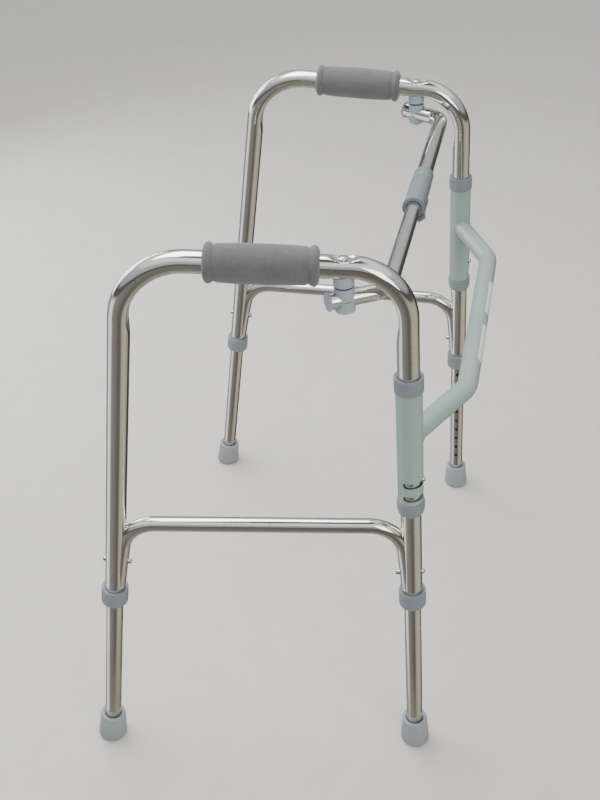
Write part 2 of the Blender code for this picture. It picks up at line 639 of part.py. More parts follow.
def build_sleeve_bush(name, axis, height, direction):
    """The plastic bush in one end of the sleeve, with a collar outside and a spigot inside."""
    spigot = -0.005 if direction < 0 else -0.012
    taper = 0.0022 if direction < 0 else 0.0008
    outline = [(TUBE_R + GAP, spigot), (SLEEVE_R - SLEEVE_WALL - GAP, spigot),
               (SLEEVE_R - SLEEVE_WALL - GAP, GAP), (BUSH_R, GAP), (BUSH_R, BUSH_LENGTH - 0.006),
               (BUSH_R - taper, BUSH_LENGTH - 0.001), (BUSH_R - taper - 0.001, BUSH_LENGTH),
               (TUBE_R + GAP, BUSH_LENGTH)]
    placed = [(radius, height + direction * along) for radius, along in outline]
    return new_object(name, turned(placed), "bush_grey", axis)


def build_label(name, root, centre_x):
    """A blank label wrapped on the front of the crossbar, facing a little upwards."""
    inner = TUBE_R + GAP
    half = LABEL_LENGTH / 2
    wrap = ring_sector(inner, inner + 0.0005, -half, half, -LABEL_HALF_ANGLE, LABEL_HALF_ANGLE, 6)
    ahead = Vector((0, -math.cos(LABEL_TILT), math.sin(LABEL_TILT)))
    along = Vector((1, 0, 0))
    place = Matrix((ahead, along.cross(ahead), along)).transposed().to_4x4()
    place.translation = (centre_x, CROSSBAR_FORWARD, CROSSBAR_HEIGHT)
    return new_object(name, wrap, "label", root, place)


# ---------------------------------------------------------------- the whole frame

def seat_on_origin(root):
    """Moves the frame so that the origin is under its middle, on the floor."""
    bpy.context.view_layer.update()
    graph = bpy.context.evaluated_depsgraph_get()
    points = []
    for piece in bpy.data.objects:
        if piece.type == "MESH" and not piece.hide_render:
            evaluated = piece.evaluated_get(graph)
            points += [evaluated.matrix_world @ vertex.co for vertex in evaluated.data.vertices]
    middle = [(min(p[k] for p in points) + max(p[k] for p in points)) / 2 for k in (0, 1)]
    root.location = (-middle[0], -middle[1], 0)


def main():
    clear_scene()
    root = new_empty("walking_frame", None, Matrix.Identity(4))
    floor = new_cutter("floor_plane", box_mesh((-1, -1, -0.1), (1, 1, 0)), root)
    for side in ("right", "left"):
        build_side(side, root, floor)
    crossbar = build_crossbar(root)
    for side in ("right", "left"):
        build_sleeve(side, root, crossbar)
    for name, centre_x in zip(("left_label", "right_label"), LABEL_CENTRES):
        build_label(name, root, centre_x)
    build_brace(root)
    seat_on_origin(root)


main()
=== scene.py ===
"""Visual model of the folding walking frame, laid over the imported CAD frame.

Every visible piece is rebuilt here as a fine mesh in the coordinates of its own leg, side frame or
brace, which are worked out from the record's joints and mounts, and rides on its CAD body. Metres.
"""

import json
import math

import bmesh
import bpy
from mathutils import Matrix, Vector, noise


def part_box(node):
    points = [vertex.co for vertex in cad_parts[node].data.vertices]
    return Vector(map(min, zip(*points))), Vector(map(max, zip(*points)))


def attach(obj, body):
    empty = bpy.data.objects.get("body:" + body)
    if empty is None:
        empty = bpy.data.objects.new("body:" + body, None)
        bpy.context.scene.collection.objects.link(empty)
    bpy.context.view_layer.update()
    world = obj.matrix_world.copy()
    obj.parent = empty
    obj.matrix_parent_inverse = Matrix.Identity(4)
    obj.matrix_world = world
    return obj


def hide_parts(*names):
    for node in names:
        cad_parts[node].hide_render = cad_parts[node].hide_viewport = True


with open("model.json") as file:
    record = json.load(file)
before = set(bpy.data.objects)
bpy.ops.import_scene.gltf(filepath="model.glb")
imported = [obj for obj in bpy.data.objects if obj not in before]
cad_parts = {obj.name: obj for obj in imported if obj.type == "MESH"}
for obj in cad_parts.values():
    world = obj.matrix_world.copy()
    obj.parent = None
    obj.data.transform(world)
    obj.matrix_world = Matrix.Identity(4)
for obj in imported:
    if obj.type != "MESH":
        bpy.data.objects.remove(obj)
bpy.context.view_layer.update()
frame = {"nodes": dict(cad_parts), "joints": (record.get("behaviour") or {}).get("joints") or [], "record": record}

JOINTS = {joint["name"]: joint for joint in frame["joints"]}
MOUNTS = {mount["name"]: Vector(mount["pos_m"]) for mount in frame["record"]["mounts"]}
SIDES = {"right": -1, "left": 1}
GAP, SLIVER = 0.0003, 0.0001

# Side frames, in their own planes
TOP_FRONT, TOP_REAR = 0.755, 0.7664
FRONT_BEND, REAR_BEND = 0.065, 0.075
TUBE_R, TUBE_WALL = 0.0127, 0.0012
FRAME_END = 0.277
LOWER_R, LOWER_BEND, LOWER_HEIGHT = 0.0095, 0.045, 0.403
LOWER_TAIL, LOWER_CORNER = 0.0055, 0.012
FLAT_BELOW_BAR, FLAT_FADE, FLAT_THINNER, FLAT_WIDER = 0.02, 0.05, 0.10, 0.06
COLLAR_LOW, COLLAR_HIGH, COLLAR_R = 0.273, 0.297, 0.0175
EXTENSION_R, EXTENSION_WALL, EXTENSION_LOW, EXTENSION_ABOVE_SNAP = 0.0111, 0.0013, 0.008, 0.0275
SNAP_AT = {"front": 0.3275, "rear": 0.345}
HOLE_PITCH, HOLE_COUNT, HOLE_R, BUTTON_R = 0.0254, 5, 0.0036, 0.0032
BUTTON_HOLE_R, BUTTON_DOME, BUTTON_REACH = BUTTON_R + 0.0005, 0.0022, {"inner": 0.0212, "outer": 0.0166}
LOW_HOLE_AT = 0.077
INNER_HOLE_AT, INNER_HOLE_PITCH, INNER_HOLE_COUNT, INNER_HOLE_R = 0.0745, 0.0203, 10, 0.0027
FOOT_R, FOOT_HEIGHT, SOLE_HEIGHT = 0.0198, 0.044, 0.012
GRIP_FROM, GRIP_TO = 0.132, 0.253
PIVOT_AT = 0.108
LOCK_BUTTON_AT, LOCK_BUTTON_REACH = 0.478, 0.0180

# Hand grip: the barrel, the bead and groove beside it as height, distance from the end and width, and
# the lumps and grain of the foam as how fine and how high
GRIP_END_R, GRIP_BARREL, GRIP_ROUNDNESS = 0.0193, 0.0021, 2.2
GRIP_BEAD, GRIP_GROOVE = (0.0022, 0.0052, 0.0036), (0.0015, 0.0112, 0.0013)
GRIP_EDGE, GRIP_EDGE_LENGTH = 0.0036, 0.003
GRIP_LUMPS, GRIP_GRAIN = (55, 0.00028), (240, 0.00010)

# Dents in the main tube: the dished seat of the bolt head, and the inside of each bend
SEAT_HALF_LENGTH, SEAT_HALF_WIDTH, SEAT_DEPTH, SEAT_EDGE = 0.0145, 0.0115, 0.0044, 0.0008
SEAT_RIM, SEAT_STEEPNESS = 1.15, 2.1
CRUSH_DEPTH, CRUSH_EDGE, CRUSH_SPREAD = 0.0032, 0.0005, 0.04
CRUSH_BELOW, CRUSH_POINT, CRUSH_FADE = 0.088, 0.016, 0.040
CRUSH_REACH = {"front": 0.105, "rear": 0.115}

# Sleeves and crossbar
SLEEVE_R, SLEEVE_WALL, SLEEVE_LOW, SLEEVE_HIGH = 0.0155, 0.0012, 0.448, 0.605
BUSH_R, BUSH_LENGTH = 0.017, 0.0197
SLOT_AT, SLOT_HEIGHT = (0.478, 0.458), 0.0085
SLOT_FROM, SLOT_TO = math.radians(-25), math.radians(119)
CROSSBAR_HEIGHT, CROSSBAR_BEND = 0.54, 0.045
CROSSBAR_HALF_STRAIGHT, CROSSBAR_AHEAD = 0.165, 0.0224
WELD_BEAD, WELD_RIPPLES, WELD_RIPPLE = 0.0019, 17, 0.10
LABEL_TILT, LABEL_SPREAD = math.radians(20), math.radians(34)
LABEL_CORNER, LABEL_THICKNESS = 0.004, 0.00025

# Telescopic brace
BRACE_HEIGHT, BRACE_BEHIND_FEET = 0.72, 0.0666
BRACE_R = {"left": 0.0105, "right": 0.0091}
BRACE_WALL = 0.001
BRACE_TUBE_END = {"left": -0.036, "right": 0.058}
BRACE_BEND, BRACE_STUB = 0.028, 0.017
BRACE_SPLAY = {"left": 0.020, "right": 0.0270}
BRACE_COLLAR_FROM, BRACE_COLLAR_TO, BRACE_COLLAR_R = -0.057, 0.040, 0.0134
LEVER_HINGE_AT, LEVER_TURN, LEVER_HALF_WIDTH = -0.012, math.radians(40), 0.0050
PIVOT_TO_BRACE, BUSH_TOP, BUSH_BOTTOM, SADDLE_R = 0.0372, -0.0088, -0.0206, 0.0112
SADDLE_TOP = {"left": BUSH_BOTTOM - 0.0030, "right": BUSH_BOTTOM - 0.0016}
LOWER_SADDLE_DEPTH, NUT_DEPTH, NUT_R, BOLT_R = 0.0137, 0.0172, 0.0045, 0.0025
BOLT_HEAD_R, BOLT_HEAD_EDGE, BOLT_HEAD_DOME = 0.0056, 0.0007, 0.0024
BOLT_SEAT = TUBE_R - 0.0034
BRACE_BORE = {"left": BOLT_R + GAP, "right": BOLT_R + 0.0015}
BRACE_BODY = {"left": "brace_outer_half", "right": "brace_inner_half"}

FRONT_MIDDLE = (MOUNTS["right_front_sole"] + MOUNTS["left_front_sole"]) / 2
BRACE_MIDDLE = (FRONT_MIDDLE.x, FRONT_MIDDLE.y + BRACE_BEHIND_FEET, BRACE_HEIGHT)

# The camera stands on the right of the frame, looks across it and down, and is slightly rolled
CAMERA_YAW, CAMERA_PITCH, CAMERA_ROLL = math.radians(13.711), math.radians(36.487), math.radians(1.434)
CAMERA_SENSOR, CAMERA_LENS = 36, 45.907
CAMERA_FROM_FEET = Vector((-1.1943, -0.0627, 1.2738))

# The room
FLOOR_HALF_SIZE, FLOOR_DROP, WALL_R, WALL_HEIGHT = 7, 0.0005, 6, 12
WALL_GLOW = (0.56, 0.55, 0.53)

# What the chrome reflects: the ground by compass turn, and the room by height
GROUND_BANDS = ((0.000, (0.20, 0.195, 0.18)), (0.050, (0.15, 0.14, 0.12)), (0.100, (0.18, 0.165, 0.13)),
                (0.135, (0.50, 0.47, 0.38)), (0.250, (0.62, 0.59, 0.49)), (0.335, (0.42, 0.39, 0.30)),
                (0.370, (0.06, 0.055, 0.045)), (0.460, (0.08, 0.075, 0.065)), (0.530, (0.30, 0.33, 0.37)),
                (0.730, (0.34, 0.37, 0.41)), (0.760, (1.30, 1.30, 1.28)), (0.835, (1.20, 1.20, 1.18)),
                (0.865, (0.30, 0.30, 0.29)), (1.000, (0.20, 0.195, 0.18)))
STEEP_GROUND, STEEP_FROM, STEEP_TO = (0.36, 0.33, 0.25), -0.92, -0.76
HORIZON_FROM, HORIZON_TO = -0.14, -0.05
SKY_BANDS = ((0.00, (0.12, 0.11, 0.095)), (0.08, (0.12, 0.115, 0.105)), (0.16, (0.42, 0.44, 0.47)),
             (0.50, (0.62, 0.64, 0.67)), (0.62, (1.10, 1.11, 1.11)), (0.88, (1.25, 1.26, 1.26)),
             (0.95, (0.18, 0.18, 0.185)), (1.00, (0.14, 0.14, 0.145)))

# How finely shapes are made, in degrees and in pieces
SHARP_ANGLE, CUT_SHARP_ANGLE, BEND_STEP, BEND_LEAST = 40, 32, 3, 6
SLOT_STEPS, WELD_STEPS, WELD_SIDES, LABEL_COLUMNS, LABEL_ROWS, GRIP_ROWS = 60, 72, 10, 40, 14, 90
CORNER_SHARE = 0.45


# ------------------------------ camera, room and light

def axes_at(place, x, y, z):
    """The matrix of a frame at the place, with these three axes."""
    matrix = Matrix((x, y, z)).transposed().to_4x4()
    matrix.translation = place
    return matrix


def put_camera():
    flat = math.cos(CAMERA_PITCH)
    ahead = Vector((math.cos(CAMERA_YAW) * flat, math.sin(CAMERA_YAW) * flat, -math.sin(CAMERA_PITCH)))
    level = Vector((math.sin(CAMERA_YAW), -math.cos(CAMERA_YAW), 0))
    down = ahead.cross(level)
    across = math.cos(CAMERA_ROLL) * level + math.sin(CAMERA_ROLL) * down
    below = math.cos(CAMERA_ROLL) * down - math.sin(CAMERA_ROLL) * level
    camera = bpy.data.objects.new("camera", bpy.data.cameras.new("camera"))
    camera.data.sensor_width = CAMERA_SENSOR
    camera.data.lens = CAMERA_LENS
    camera.matrix_world = axes_at(FRONT_MIDDLE + CAMERA_FROM_FEET, across, -below, -ahead)
    bpy.context.scene.collection.objects.link(camera)
    bpy.context.scene.camera = camera


def put_light(name, place, aim, size, power, colour):
    lamp = bpy.data.objects.new(name, bpy.data.lights.new(name, "AREA"))
    lamp.data.shape = "RECTANGLE"
    lamp.data.size, lamp.data.size_y = size
    lamp.data.energy = power
    lamp.data.color = colour
    lamp.location = place
    lamp.rotation_euler = (Vector(aim) - Vector(place)).to_track_quat("-Z", "Y").to_euler()
    bpy.context.scene.collection.objects.link(lamp)


def make_world():
    """A pale room over a dim tan ground. Only the chrome sees the ground, as bands along the tubes."""
    world = bpy.data.worlds.new("studio")
    world.use_nodes = True
    n = Nodes(world)
    height = n.split("Generated", "Z")
    turn = n.maths("ARCTAN2", n.split("Generated", "Y"), n.split("Generated", "X"))
    bands = n.ramp(n.span(turn, -math.pi, math.pi, 0, 1), GROUND_BANDS)
    steep = n.span(height, STEEP_FROM, STEEP_TO, 0, 1)
    ground = n.mix(steep, STEEP_GROUND, bands)
    sky = n.ramp(height, SKY_BANDS)
    seen = n.mix(n.span(height, HORIZON_FROM, HORIZON_TO, 0, 1), ground, sky)
    n.link(seen, n.tree.nodes["Background"].inputs["Color"])
    n.tree.nodes["Background"].inputs["Strength"].default_value = 1.0
    bpy.context.scene.world = world


def set_studio():
    put_light("top_softbox", (0.3, 0.5, 2.4), (0, 0, 0.3), (1.6, 1.2), 44, (1.0, 0.98, 0.95))
    put_light("wall_softbox", (0.9, 1.7, 1.0), (0, 0, 0.5), (1.8, 1.2), 24, (0.95, 0.97, 1.0))
    put_light("front_fill", (-1.7, -1.5, 1.5), (0, 0, 0.4), (1.0, 1.4), 16, (1.0, 0.98, 0.94))
    make_world()
    floor, wall = bmesh.new(), bmesh.new()
    bmesh.ops.create_grid(floor, x_segments=1, y_segments=1, size=FLOOR_HALF_SIZE)
    bmesh.ops.create_cone(wall, cap_ends=False, segments=96, radius1=WALL_R, radius2=WALL_R,
                          depth=WALL_HEIGHT)
    put_stage("floor", floor, make_material("floor_paint", (0.66, 0.64, 0.60), 0.6, vary=0.03))
    backdrop = put_stage("backdrop", wall, make_material("backdrop_paint", (0.30, 0.29, 0.28), 0.9))
    shader = backdrop.data.materials[0].node_tree.nodes["Principled BSDF"]
    shader.inputs["Emission Color"].default_value = (*WALL_GLOW, 1)
    shader.inputs["Emission Strength"].default_value = 1.0
    backdrop.visible_diffuse = False
    backdrop.visible_shadow = False


def put_stage(name, bm, material):
    """Part of the room, which the camera sees and the chrome doesn't."""
    mesh = bpy.data.meshes.new(name)
    bm.to_mesh(mesh)
    bm.free()
    mesh.materials.append(material)
    part = bpy.data.objects.new(name, mesh)
    part.location.z = -FLOOR_DROP
    part.visible_glossy = False
    bpy.context.scene.collection.objects.link(part)
    return part


# ------------------------------ materials

class Nodes:
    """Short calls for building a material's node tree."""

    def __init__(self, holder):
        self.tree = holder.node_tree
        self.shader = self.tree.nodes.get("Principled BSDF")
        self.coordinates = self.tree.nodes.new("ShaderNodeTexCoord")
        self.place = self.coordinates.outputs["Object"]

    def link(self, source, target):
        self.tree.links.new(source, target)

    def stretched(self, scale):
        mapping = self.tree.nodes.new("ShaderNodeMapping")
        mapping.inputs["Scale"].default_value = scale
        self.link(self.place, mapping.inputs["Vector"])
        return mapping.outputs["Vector"]

    def noise(self, scale, detail=3.0, rough=0.55, place=None):
        made = self.tree.nodes.new("ShaderNodeTexNoise")
        made.inputs["Scale"].default_value = scale
        made.inputs["Detail"].default_value = detail
        made.inputs["Roughness"].default_value = rough
        self.link(place or self.place, made.inputs["Vector"])
        return made.outputs["Fac"]

    def cells(self, scale):
        made = self.tree.nodes.new("ShaderNodeTexVoronoi")
        made.inputs["Scale"].default_value = scale
        self.link(self.place, made.inputs["Vector"])
        return made.outputs["Distance"]

    def span(self, value, from_low, from_high, to_low, to_high):
        made = self.tree.nodes.new("ShaderNodeMapRange")
        numbers = (from_low, from_high, to_low, to_high)
        for key, number in zip(("From Min", "From Max", "To Min", "To Max"), numbers):
            made.inputs[key].default_value = number
        self.link(value, made.inputs["Value"])
        return made.outputs["Result"]

    def mix(self, amount, first, second):
        made = self.tree.nodes.new("ShaderNodeMix")
        made.data_type = "RGBA"
        self.link(amount, made.inputs["Factor"])
        for socket, value in ((made.inputs[6], first), (made.inputs[7], second)):
            if isinstance(value, tuple):
                socket.default_value = (*value, 1)
            else:
                self.link(value, socket)
        return made.outputs[2]

    def bump(self, height, strength, distance, after=None):
        made = self.tree.nodes.new("ShaderNodeBump")
        made.inputs["Strength"].default_value = strength
        made.inputs["Distance"].default_value = distance
        self.link(height, made.inputs["Height"])
        if after:
            self.link(after, made.inputs["Normal"])
        return made.outputs["Normal"]

    def split(self, coordinates, axis):
        made = self.tree.nodes.new("ShaderNodeSeparateXYZ")
        self.link(self.coordinates.outputs[coordinates], made.inputs[0])
        return made.outputs[axis]

    def maths(self, operation, first, second):
        made = self.tree.nodes.new("ShaderNodeMath")
        made.operation = operation
        self.link(first, made.inputs[0])
        self.link(second, made.inputs[1])
        return made.outputs[0]

    def ramp(self, value, stops):
        """Colours at places from 0 to 1, blended between them."""
        made = self.tree.nodes.new("ShaderNodeValToRGB")
        self.link(value, made.inputs[0])
        elements = made.color_ramp.elements
        for _ in range(len(stops) - len(elements)):
            elements.new(0.5)
        for element, (position, colour) in zip(elements, stops):
            element.position = position
            element.color = (*colour, 1)
        return made.outputs[0]


def new_material(name):
    material = bpy.data.materials.new(name)
    material.use_nodes = True
    return material, Nodes(material)


def shade(colour, factor):
    return tuple(channel * factor for channel in colour)


def make_material(name, colour, roughness, vary=0.05, grain=400, bump=0.1, metallic=0.0, coat=0.0):
    """Painted, moulded or plated stuff: cloudy colour, uneven gloss and a fine surface grain."""
    material, n = new_material(name)
    clouds = n.noise(18, 4.0)
    tint = n.mix(n.span(clouds, 0.3, 0.7, 0, 1), shade(colour, 1 - vary), shade(colour, 1 + vary))
    n.link(tint, n.shader.inputs["Base Color"])
    smudges = n.noise(45, 5.0, 0.65)
    gloss = n.span(smudges, 0.3, 0.7, roughness * 0.85, roughness * 1.2)
    n.link(gloss, n.shader.inputs["Roughness"])
    n.link(n.bump(n.noise(grain, 2.0), bump, 0.0002), n.shader.inputs["Normal"])
    n.shader.inputs["Metallic"].default_value = metallic
    n.shader.inputs["Coat Weight"].default_value = coat
    n.shader.inputs["Coat Roughness"].default_value = 0.15
    return material


def chrome_material(name, colour, low, high):
    """Bright plated tube: long faint drawing lines, smudges, and a few dull specks."""
    material, n = new_material(name)
    clouds = n.span(n.noise(9, 4.0), 0.35, 0.7, 0, 1)
    tint = n.mix(clouds, shade(colour, 0.93), shade(colour, 1.03))
    specks = n.span(n.noise(260, 1.0), 0.72, 0.80, 0, 1)
    n.link(n.mix(specks, tint, shade(colour, 0.55)), n.shader.inputs["Base Color"])
    lines = n.noise(1.0, 4.0, 0.7, n.stretched((700, 700, 9)))
    smudges = n.noise(30, 5.0, 0.7)
    gloss = n.maths("MULTIPLY", n.span(lines, 0.3, 0.7, 0.6, 1.0), n.span(smudges, 0.3, 0.75, low, high))
    n.link(gloss, n.shader.inputs["Roughness"])
    waves = n.bump(n.noise(22, 1.0), 0.08, 0.0006)
    n.link(n.bump(lines, 0.05, 0.0001, waves), n.shader.inputs["Normal"])
    n.shader.inputs["Metallic"].default_value = 1.0
    return material


def foam_material(name, colour):
    """Closed-cell foam: fine pores darkened in their middles with painted shade, mottled colour and a soft sheen.
    """
    material, n = new_material(name)
    mottle = n.span(n.noise(70, 5.0, 0.7), 0.3, 0.7, 0, 1)
    pores_and_painted_shade = n.cells(1500)
    base = n.mix(mottle, shade(colour, 0.88), shade(colour, 1.10))
    # The middle of each pore is painted darker, as painted shade in the pores; the same cells also make the pore
    # bump.
    n.link(n.mix(n.span(pores_and_painted_shade, 0.0, 0.55, 0, 1), shade(colour, 0.62), base), n.shader.inputs["Base Color"])
    n.shader.inputs["Roughness"].default_value = 0.95
    n.shader.inputs["Sheen Weight"].default_value = 0.25
    n.shader.inputs["Sheen Roughness"].default_value = 0.5
    n.shader.inputs["Specular IOR Level"].default_value = 0.25
    skin = n.bump(n.noise(160, 4.0, 0.7), 0.35, 0.0006)
    n.link(n.bump(pores_and_painted_shade, 0.55, 0.0003, skin), n.shader.inputs["Normal"])
    return material


def rubber_material(name, colour):
    """Moulded rubber, scuffed and dirty towards the sole."""
    material, n = new_material(name)
    clouds = n.span(n.noise(60, 4.0, 0.65), 0.3, 0.7, 0, 1)
    base = n.mix(clouds, shade(colour, 0.92), shade(colour, 1.06))
    low = n.span(n.split("Object", "Z"), 0.002, 0.030, 0.45, 0.0)
    patches = n.maths("MULTIPLY", low, n.span(n.noise(120, 5.0, 0.75), 0.35, 0.65, 0, 1))
    n.link(n.mix(patches, base, (0.16, 0.14, 0.11)), n.shader.inputs["Base Color"])
    n.link(n.span(clouds, 0, 1, 0.50, 0.68), n.shader.inputs["Roughness"])
    n.link(n.bump(n.noise(700, 3.0), 0.2, 0.0002), n.shader.inputs["Normal"])
    return material


def make_materials():
    return {
        "chrome": chrome_material("chrome", (0.80, 0.785, 0.745), 0.06, 0.17),
        "brushed": chrome_material("extension_plate", (0.76, 0.74, 0.68), 0.12, 0.26),
        "sage": make_material("sage_paint", (0.315, 0.42, 0.385), 0.34, 0.05, 500, 0.08, coat=0.25),
        "bush_grey": make_material("bush_plastic", (0.225, 0.255, 0.29), 0.42, 0.05, 900, 0.12),
        "collar_grey": make_material("collar_plastic", (0.185, 0.21, 0.235), 0.36, 0.05, 900, 0.12),
        "saddle_grey": make_material("saddle_plastic", (0.36, 0.43, 0.485), 0.38, 0.05, 900, 0.12),
        "foot_rubber": rubber_material("foot_rubber", (0.33, 0.355, 0.385)),
        "foam": foam_material("grip_foam", (0.150, 0.155, 0.156)),
        "steel": make_material("fitting_steel", (0.62, 0.62, 0.60), 0.24, 0.05, 300, 0.05, 1.0),
        "dark_steel": make_material("nut_steel", (0.12, 0.12, 0.12), 0.45, 0.10, 300, 0.10, 0.8),
        "label": make_material("label_vinyl", (0.80, 0.80, 0.79), 0.38, 0.02, 200, 0.03),
    }


MATERIALS = make_materials()


# ------------------------------ shapes

def finish_piece(name, bm, body, stuff, place=None, stands_for=(), sharp=SHARP_ANGLE):
    """Makes the piece in its own frame, rides it on its body, and hides what it stands for."""
    bmesh.ops.remove_doubles(bm, verts=bm.verts, dist=1e-7)
    bmesh.ops.recalc_face_normals(bm, faces=bm.faces)
    mesh = bpy.data.meshes.new(name)
    bm.to_mesh(mesh)
    bm.free()
    mesh.shade_smooth()
    mesh.set_sharp_from_angle(angle=math.radians(sharp))
    piece = bpy.data.objects.new(name, mesh)
    piece.matrix_world = place or Matrix.Identity(4)
    bpy.context.scene.collection.objects.link(piece)
    mesh.materials.append(MATERIALS[stuff])
    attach(piece, body)
    if stands_for:
        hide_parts(*stands_for)
    return piece


def paint_node(name, stuff):
    """Gives a CAD node that is shown as it is a material of its own."""
    mesh = frame["nodes"][name].data
    mesh.materials.clear()
    mesh.materials.append(MATERIALS[stuff])


def soften(outline, radius, steps=3):
    """The closed outline with each of its corners rounded off by up to the radius."""
    rounded = []
    count = len(outline)
    for i in range(count):
        before, corner, after = (Vector(outline[(i + k) % count]) for k in (-1, 0, 1))
        if corner.x == 0:
            rounded.append(tuple(corner))
            continue
        back, on = before - corner, after - corner
        reach = min(radius, back.length * CORNER_SHARE, on.length * CORNER_SHARE)
        start, stop = corner + back.normalized() * reach, corner + on.normalized() * reach
        for k in range(steps + 1):
            t = k / steps
            rounded.append(tuple((1 - t) ** 2 * start + 2 * t * (1 - t) * corner + t ** 2 * stop))
    return rounded


def turned(outline, segments=48):
    """A solid of revolution about Z from a closed outline of (radius, height)."""
    bm = bmesh.new()
    rings = []
    for radius, height in outline:
        if radius == 0:
            rings.append([bm.verts.new((0, 0, height))])
            continue
        turns = [2 * math.pi * i / segments for i in range(segments)]
        rings.append([bm.verts.new((radius * math.cos(t), radius * math.sin(t), height)) for t in turns])
    for first, second in zip(rings, rings[1:] + rings[:1]):
        if len(first) == 1 and len(second) == 1:
            continue
        for i in range(segments):
            j = (i + 1) % segments
            around = (first[i % len(first)], first[j % len(first)],
                      second[j % len(second)], second[i % len(second)])
            bm.faces.new(list(dict.fromkeys(around)))
    return bm


def join_rings(bm, first, second):
    """A band of faces between two rings of as many points each."""
    for k in range(len(first)):
        j = (k + 1) % len(first)
        bm.faces.new((first[k], first[j], second[j], second[k]))


def dome(radius, base, height, degrees):
    """Points of an outline up over a dome, at angles from its edge."""
    turns = [math.radians(angle) for angle in degrees]
    return [(radius * math.cos(t), base + height * math.sin(t)) for t in turns]


def rounded_path(corners, radii):
    """The line through the corners with an arc of its radius in place of each inner one."""
    points = [corners[0]]
    for before, corner, after, radius in zip(corners, corners[1:], corners[2:], radii):
        inward = (before - corner).normalized()
        outward = (after - corner).normalized()
        half = inward.angle(outward) / 2
        reach = radius / math.tan(half)
        centre = corner + (inward + outward).normalized() * (radius / math.sin(half))
        start = corner + inward * reach - centre
        finish = corner + outward * reach - centre
        steps = max(BEND_LEAST, math.ceil(math.degrees(start.angle(finish)) / BEND_STEP))
        points += [centre + radius * start.slerp(finish, i / steps) for i in range(steps + 1)]
    return points + [corners[-1]]


def evened(points, step):
    """The path with points no further apart than the step."""
    places = [points[0]]
    for first, second in zip(points, points[1:]):
        length = (second - first).length
        if length < 1e-9:
            continue
        pieces = max(1, math.ceil(length / step))
        places += [first.lerp(second, k / pieces) for k in range(1, pieces + 1)]
    return places


def swept(points, binormal, outer, inner, sides, step, form=None):
    """A tube along points in a plane. form(place, inwards, across) can dent its skin."""
    places = evened(points, step)
    bm = bmesh.new()
    skins = []
    for radius in (outer, inner):
        if radius is None:
            continue
        rings = []
        for i, place in enumerate(places):
            tangent = (places[min(i + 1, len(places) - 1)] - places[max(i - 1, 0)]).normalized()
            normal = binormal.cross(tangent)
            ring = []
            for k in range(sides):
                turn = 2 * math.pi * k / sides
                inwards, across = outer * math.cos(turn), outer * math.sin(turn)
                if form:
                    inwards, across = form(place, inwards, across)
                inwards, across = inwards * radius / outer, across * radius / outer
                ring.append(bm.verts.new(place + normal * inwards + binormal * across))
            rings.append(ring)
        for first, second in zip(rings, rings[1:]):
            join_rings(bm, first, second)
        skins.append(rings)
    for end in (0, -1):
        if inner is None:
            bm.faces.new(skins[0][end])
        else:
            join_rings(bm, skins[0][end], skins[1][end])
    return bm


def cut_away(piece, cutters):
    """Cuts shapes, which are in the world's frame, out of a piece, and makes the result its mesh."""
    bm = bmesh.new()
    for cutter, place in cutters:
        bmesh.ops.transform(cutter, matrix=place, verts=cutter.verts)
        mesh = bpy.data.meshes.new("cutter")
        bmesh.ops.recalc_face_normals(cutter, faces=cutter.faces)
        cutter.to_mesh(mesh)
        cutter.free()
        bm.from_mesh(mesh)
        bpy.data.meshes.remove(mesh)
    mesh = bpy.data.meshes.new("cutter")
    bm.to_mesh(mesh)
    bm.free()
    tool = bpy.data.objects.new("cutter", mesh)
    bpy.context.scene.collection.objects.link(tool)
    boolean = piece.modifiers.new("cut", "BOOLEAN")
    boolean.operation = "DIFFERENCE"
    boolean.object = tool
    bpy.context.view_layer.update()
    graph = bpy.context.evaluated_depsgraph_get()
    result = bpy.data.meshes.new_from_object(piece.evaluated_get(graph))
    piece.modifiers.clear()
    piece.data = result
    result.shade_smooth()
    result.set_sharp_from_angle(angle=math.radians(CUT_SHARP_ANGLE))
    bpy.data.objects.remove(tool, do_unlink=True)


def rod(radius, low, high, segments=24):
    return turned([(0, low), (radius, low), (radius, high), (0, high)], segments)


def along_x(direction=1):
    return Matrix.Rotation(math.radians(90 * direction), 4, "Y")


def smooth_step(value):
    value = min(max(value, 0.0), 1.0)
    return value * value * (3 - 2 * value)


def slot_shape(inner, outer, height, start, stop):
    """A slot round a tube between two angles, with rounded ends."""
    bm = bmesh.new()
    middle_r = (inner + outer) / 2
    end = height / 2 / middle_r
    sections = []
    for i in range(SLOT_STEPS + 1):
        angle = start + (stop - start) * (0.5 - 0.5 * math.cos(math.pi * i / SLOT_STEPS))
        from_end = min(angle - start, stop - angle)
        shrink = 1.0 if from_end >= end else math.sqrt(max(0.03, 1 - (1 - from_end / end) ** 2))
        half = height / 2 * shrink
        outline = ((inner, -half), (outer, -half), (outer, half), (inner, half))
        sections.append([bm.verts.new((r * math.cos(angle), r * math.sin(angle), z)) for r, z in outline])
    for first, second in zip(sections, sections[1:]):
        join_rings(bm, first, second)
    bm.faces.new(sections[0])
    bm.faces.new(sections[-1])
    return bm


# ------------------------------ planes and axes, from the record

def side_matrix(side):
    """+X back along the floor and +Z up, in the side frame's plane, from the front foot."""
    foot = MOUNTS[f"{side}_front_sole"]
    back = (MOUNTS[f"{side}_rear_sole"] - foot).normalized()
    leg = Vector(JOINTS[f"{side}_front_leg_slide"]["axis"])
    up = (leg - back * leg.dot(back)).normalized()
    return axes_at(foot, back, up.cross(back), up)


def leg_matrix(side, leg):
    """+Z up along the leg, +X towards the other leg, from the foot."""
    up = Vector(JOINTS[f"{side}_{leg}_leg_slide"]["axis"])
    across = Vector(JOINTS[f"{side}_{leg}_snap_outer_press"]["axis"])
    across = (across - up * across.dot(up)).normalized()
    return axes_at(MOUNTS[f"{side}_{leg}_sole"], across, up.cross(across), up)


PLANE = {side: side_matrix(side) for side in SIDES}
LEG = {(side, leg): leg_matrix(side, leg) for side in SIDES for leg in SNAP_AT}


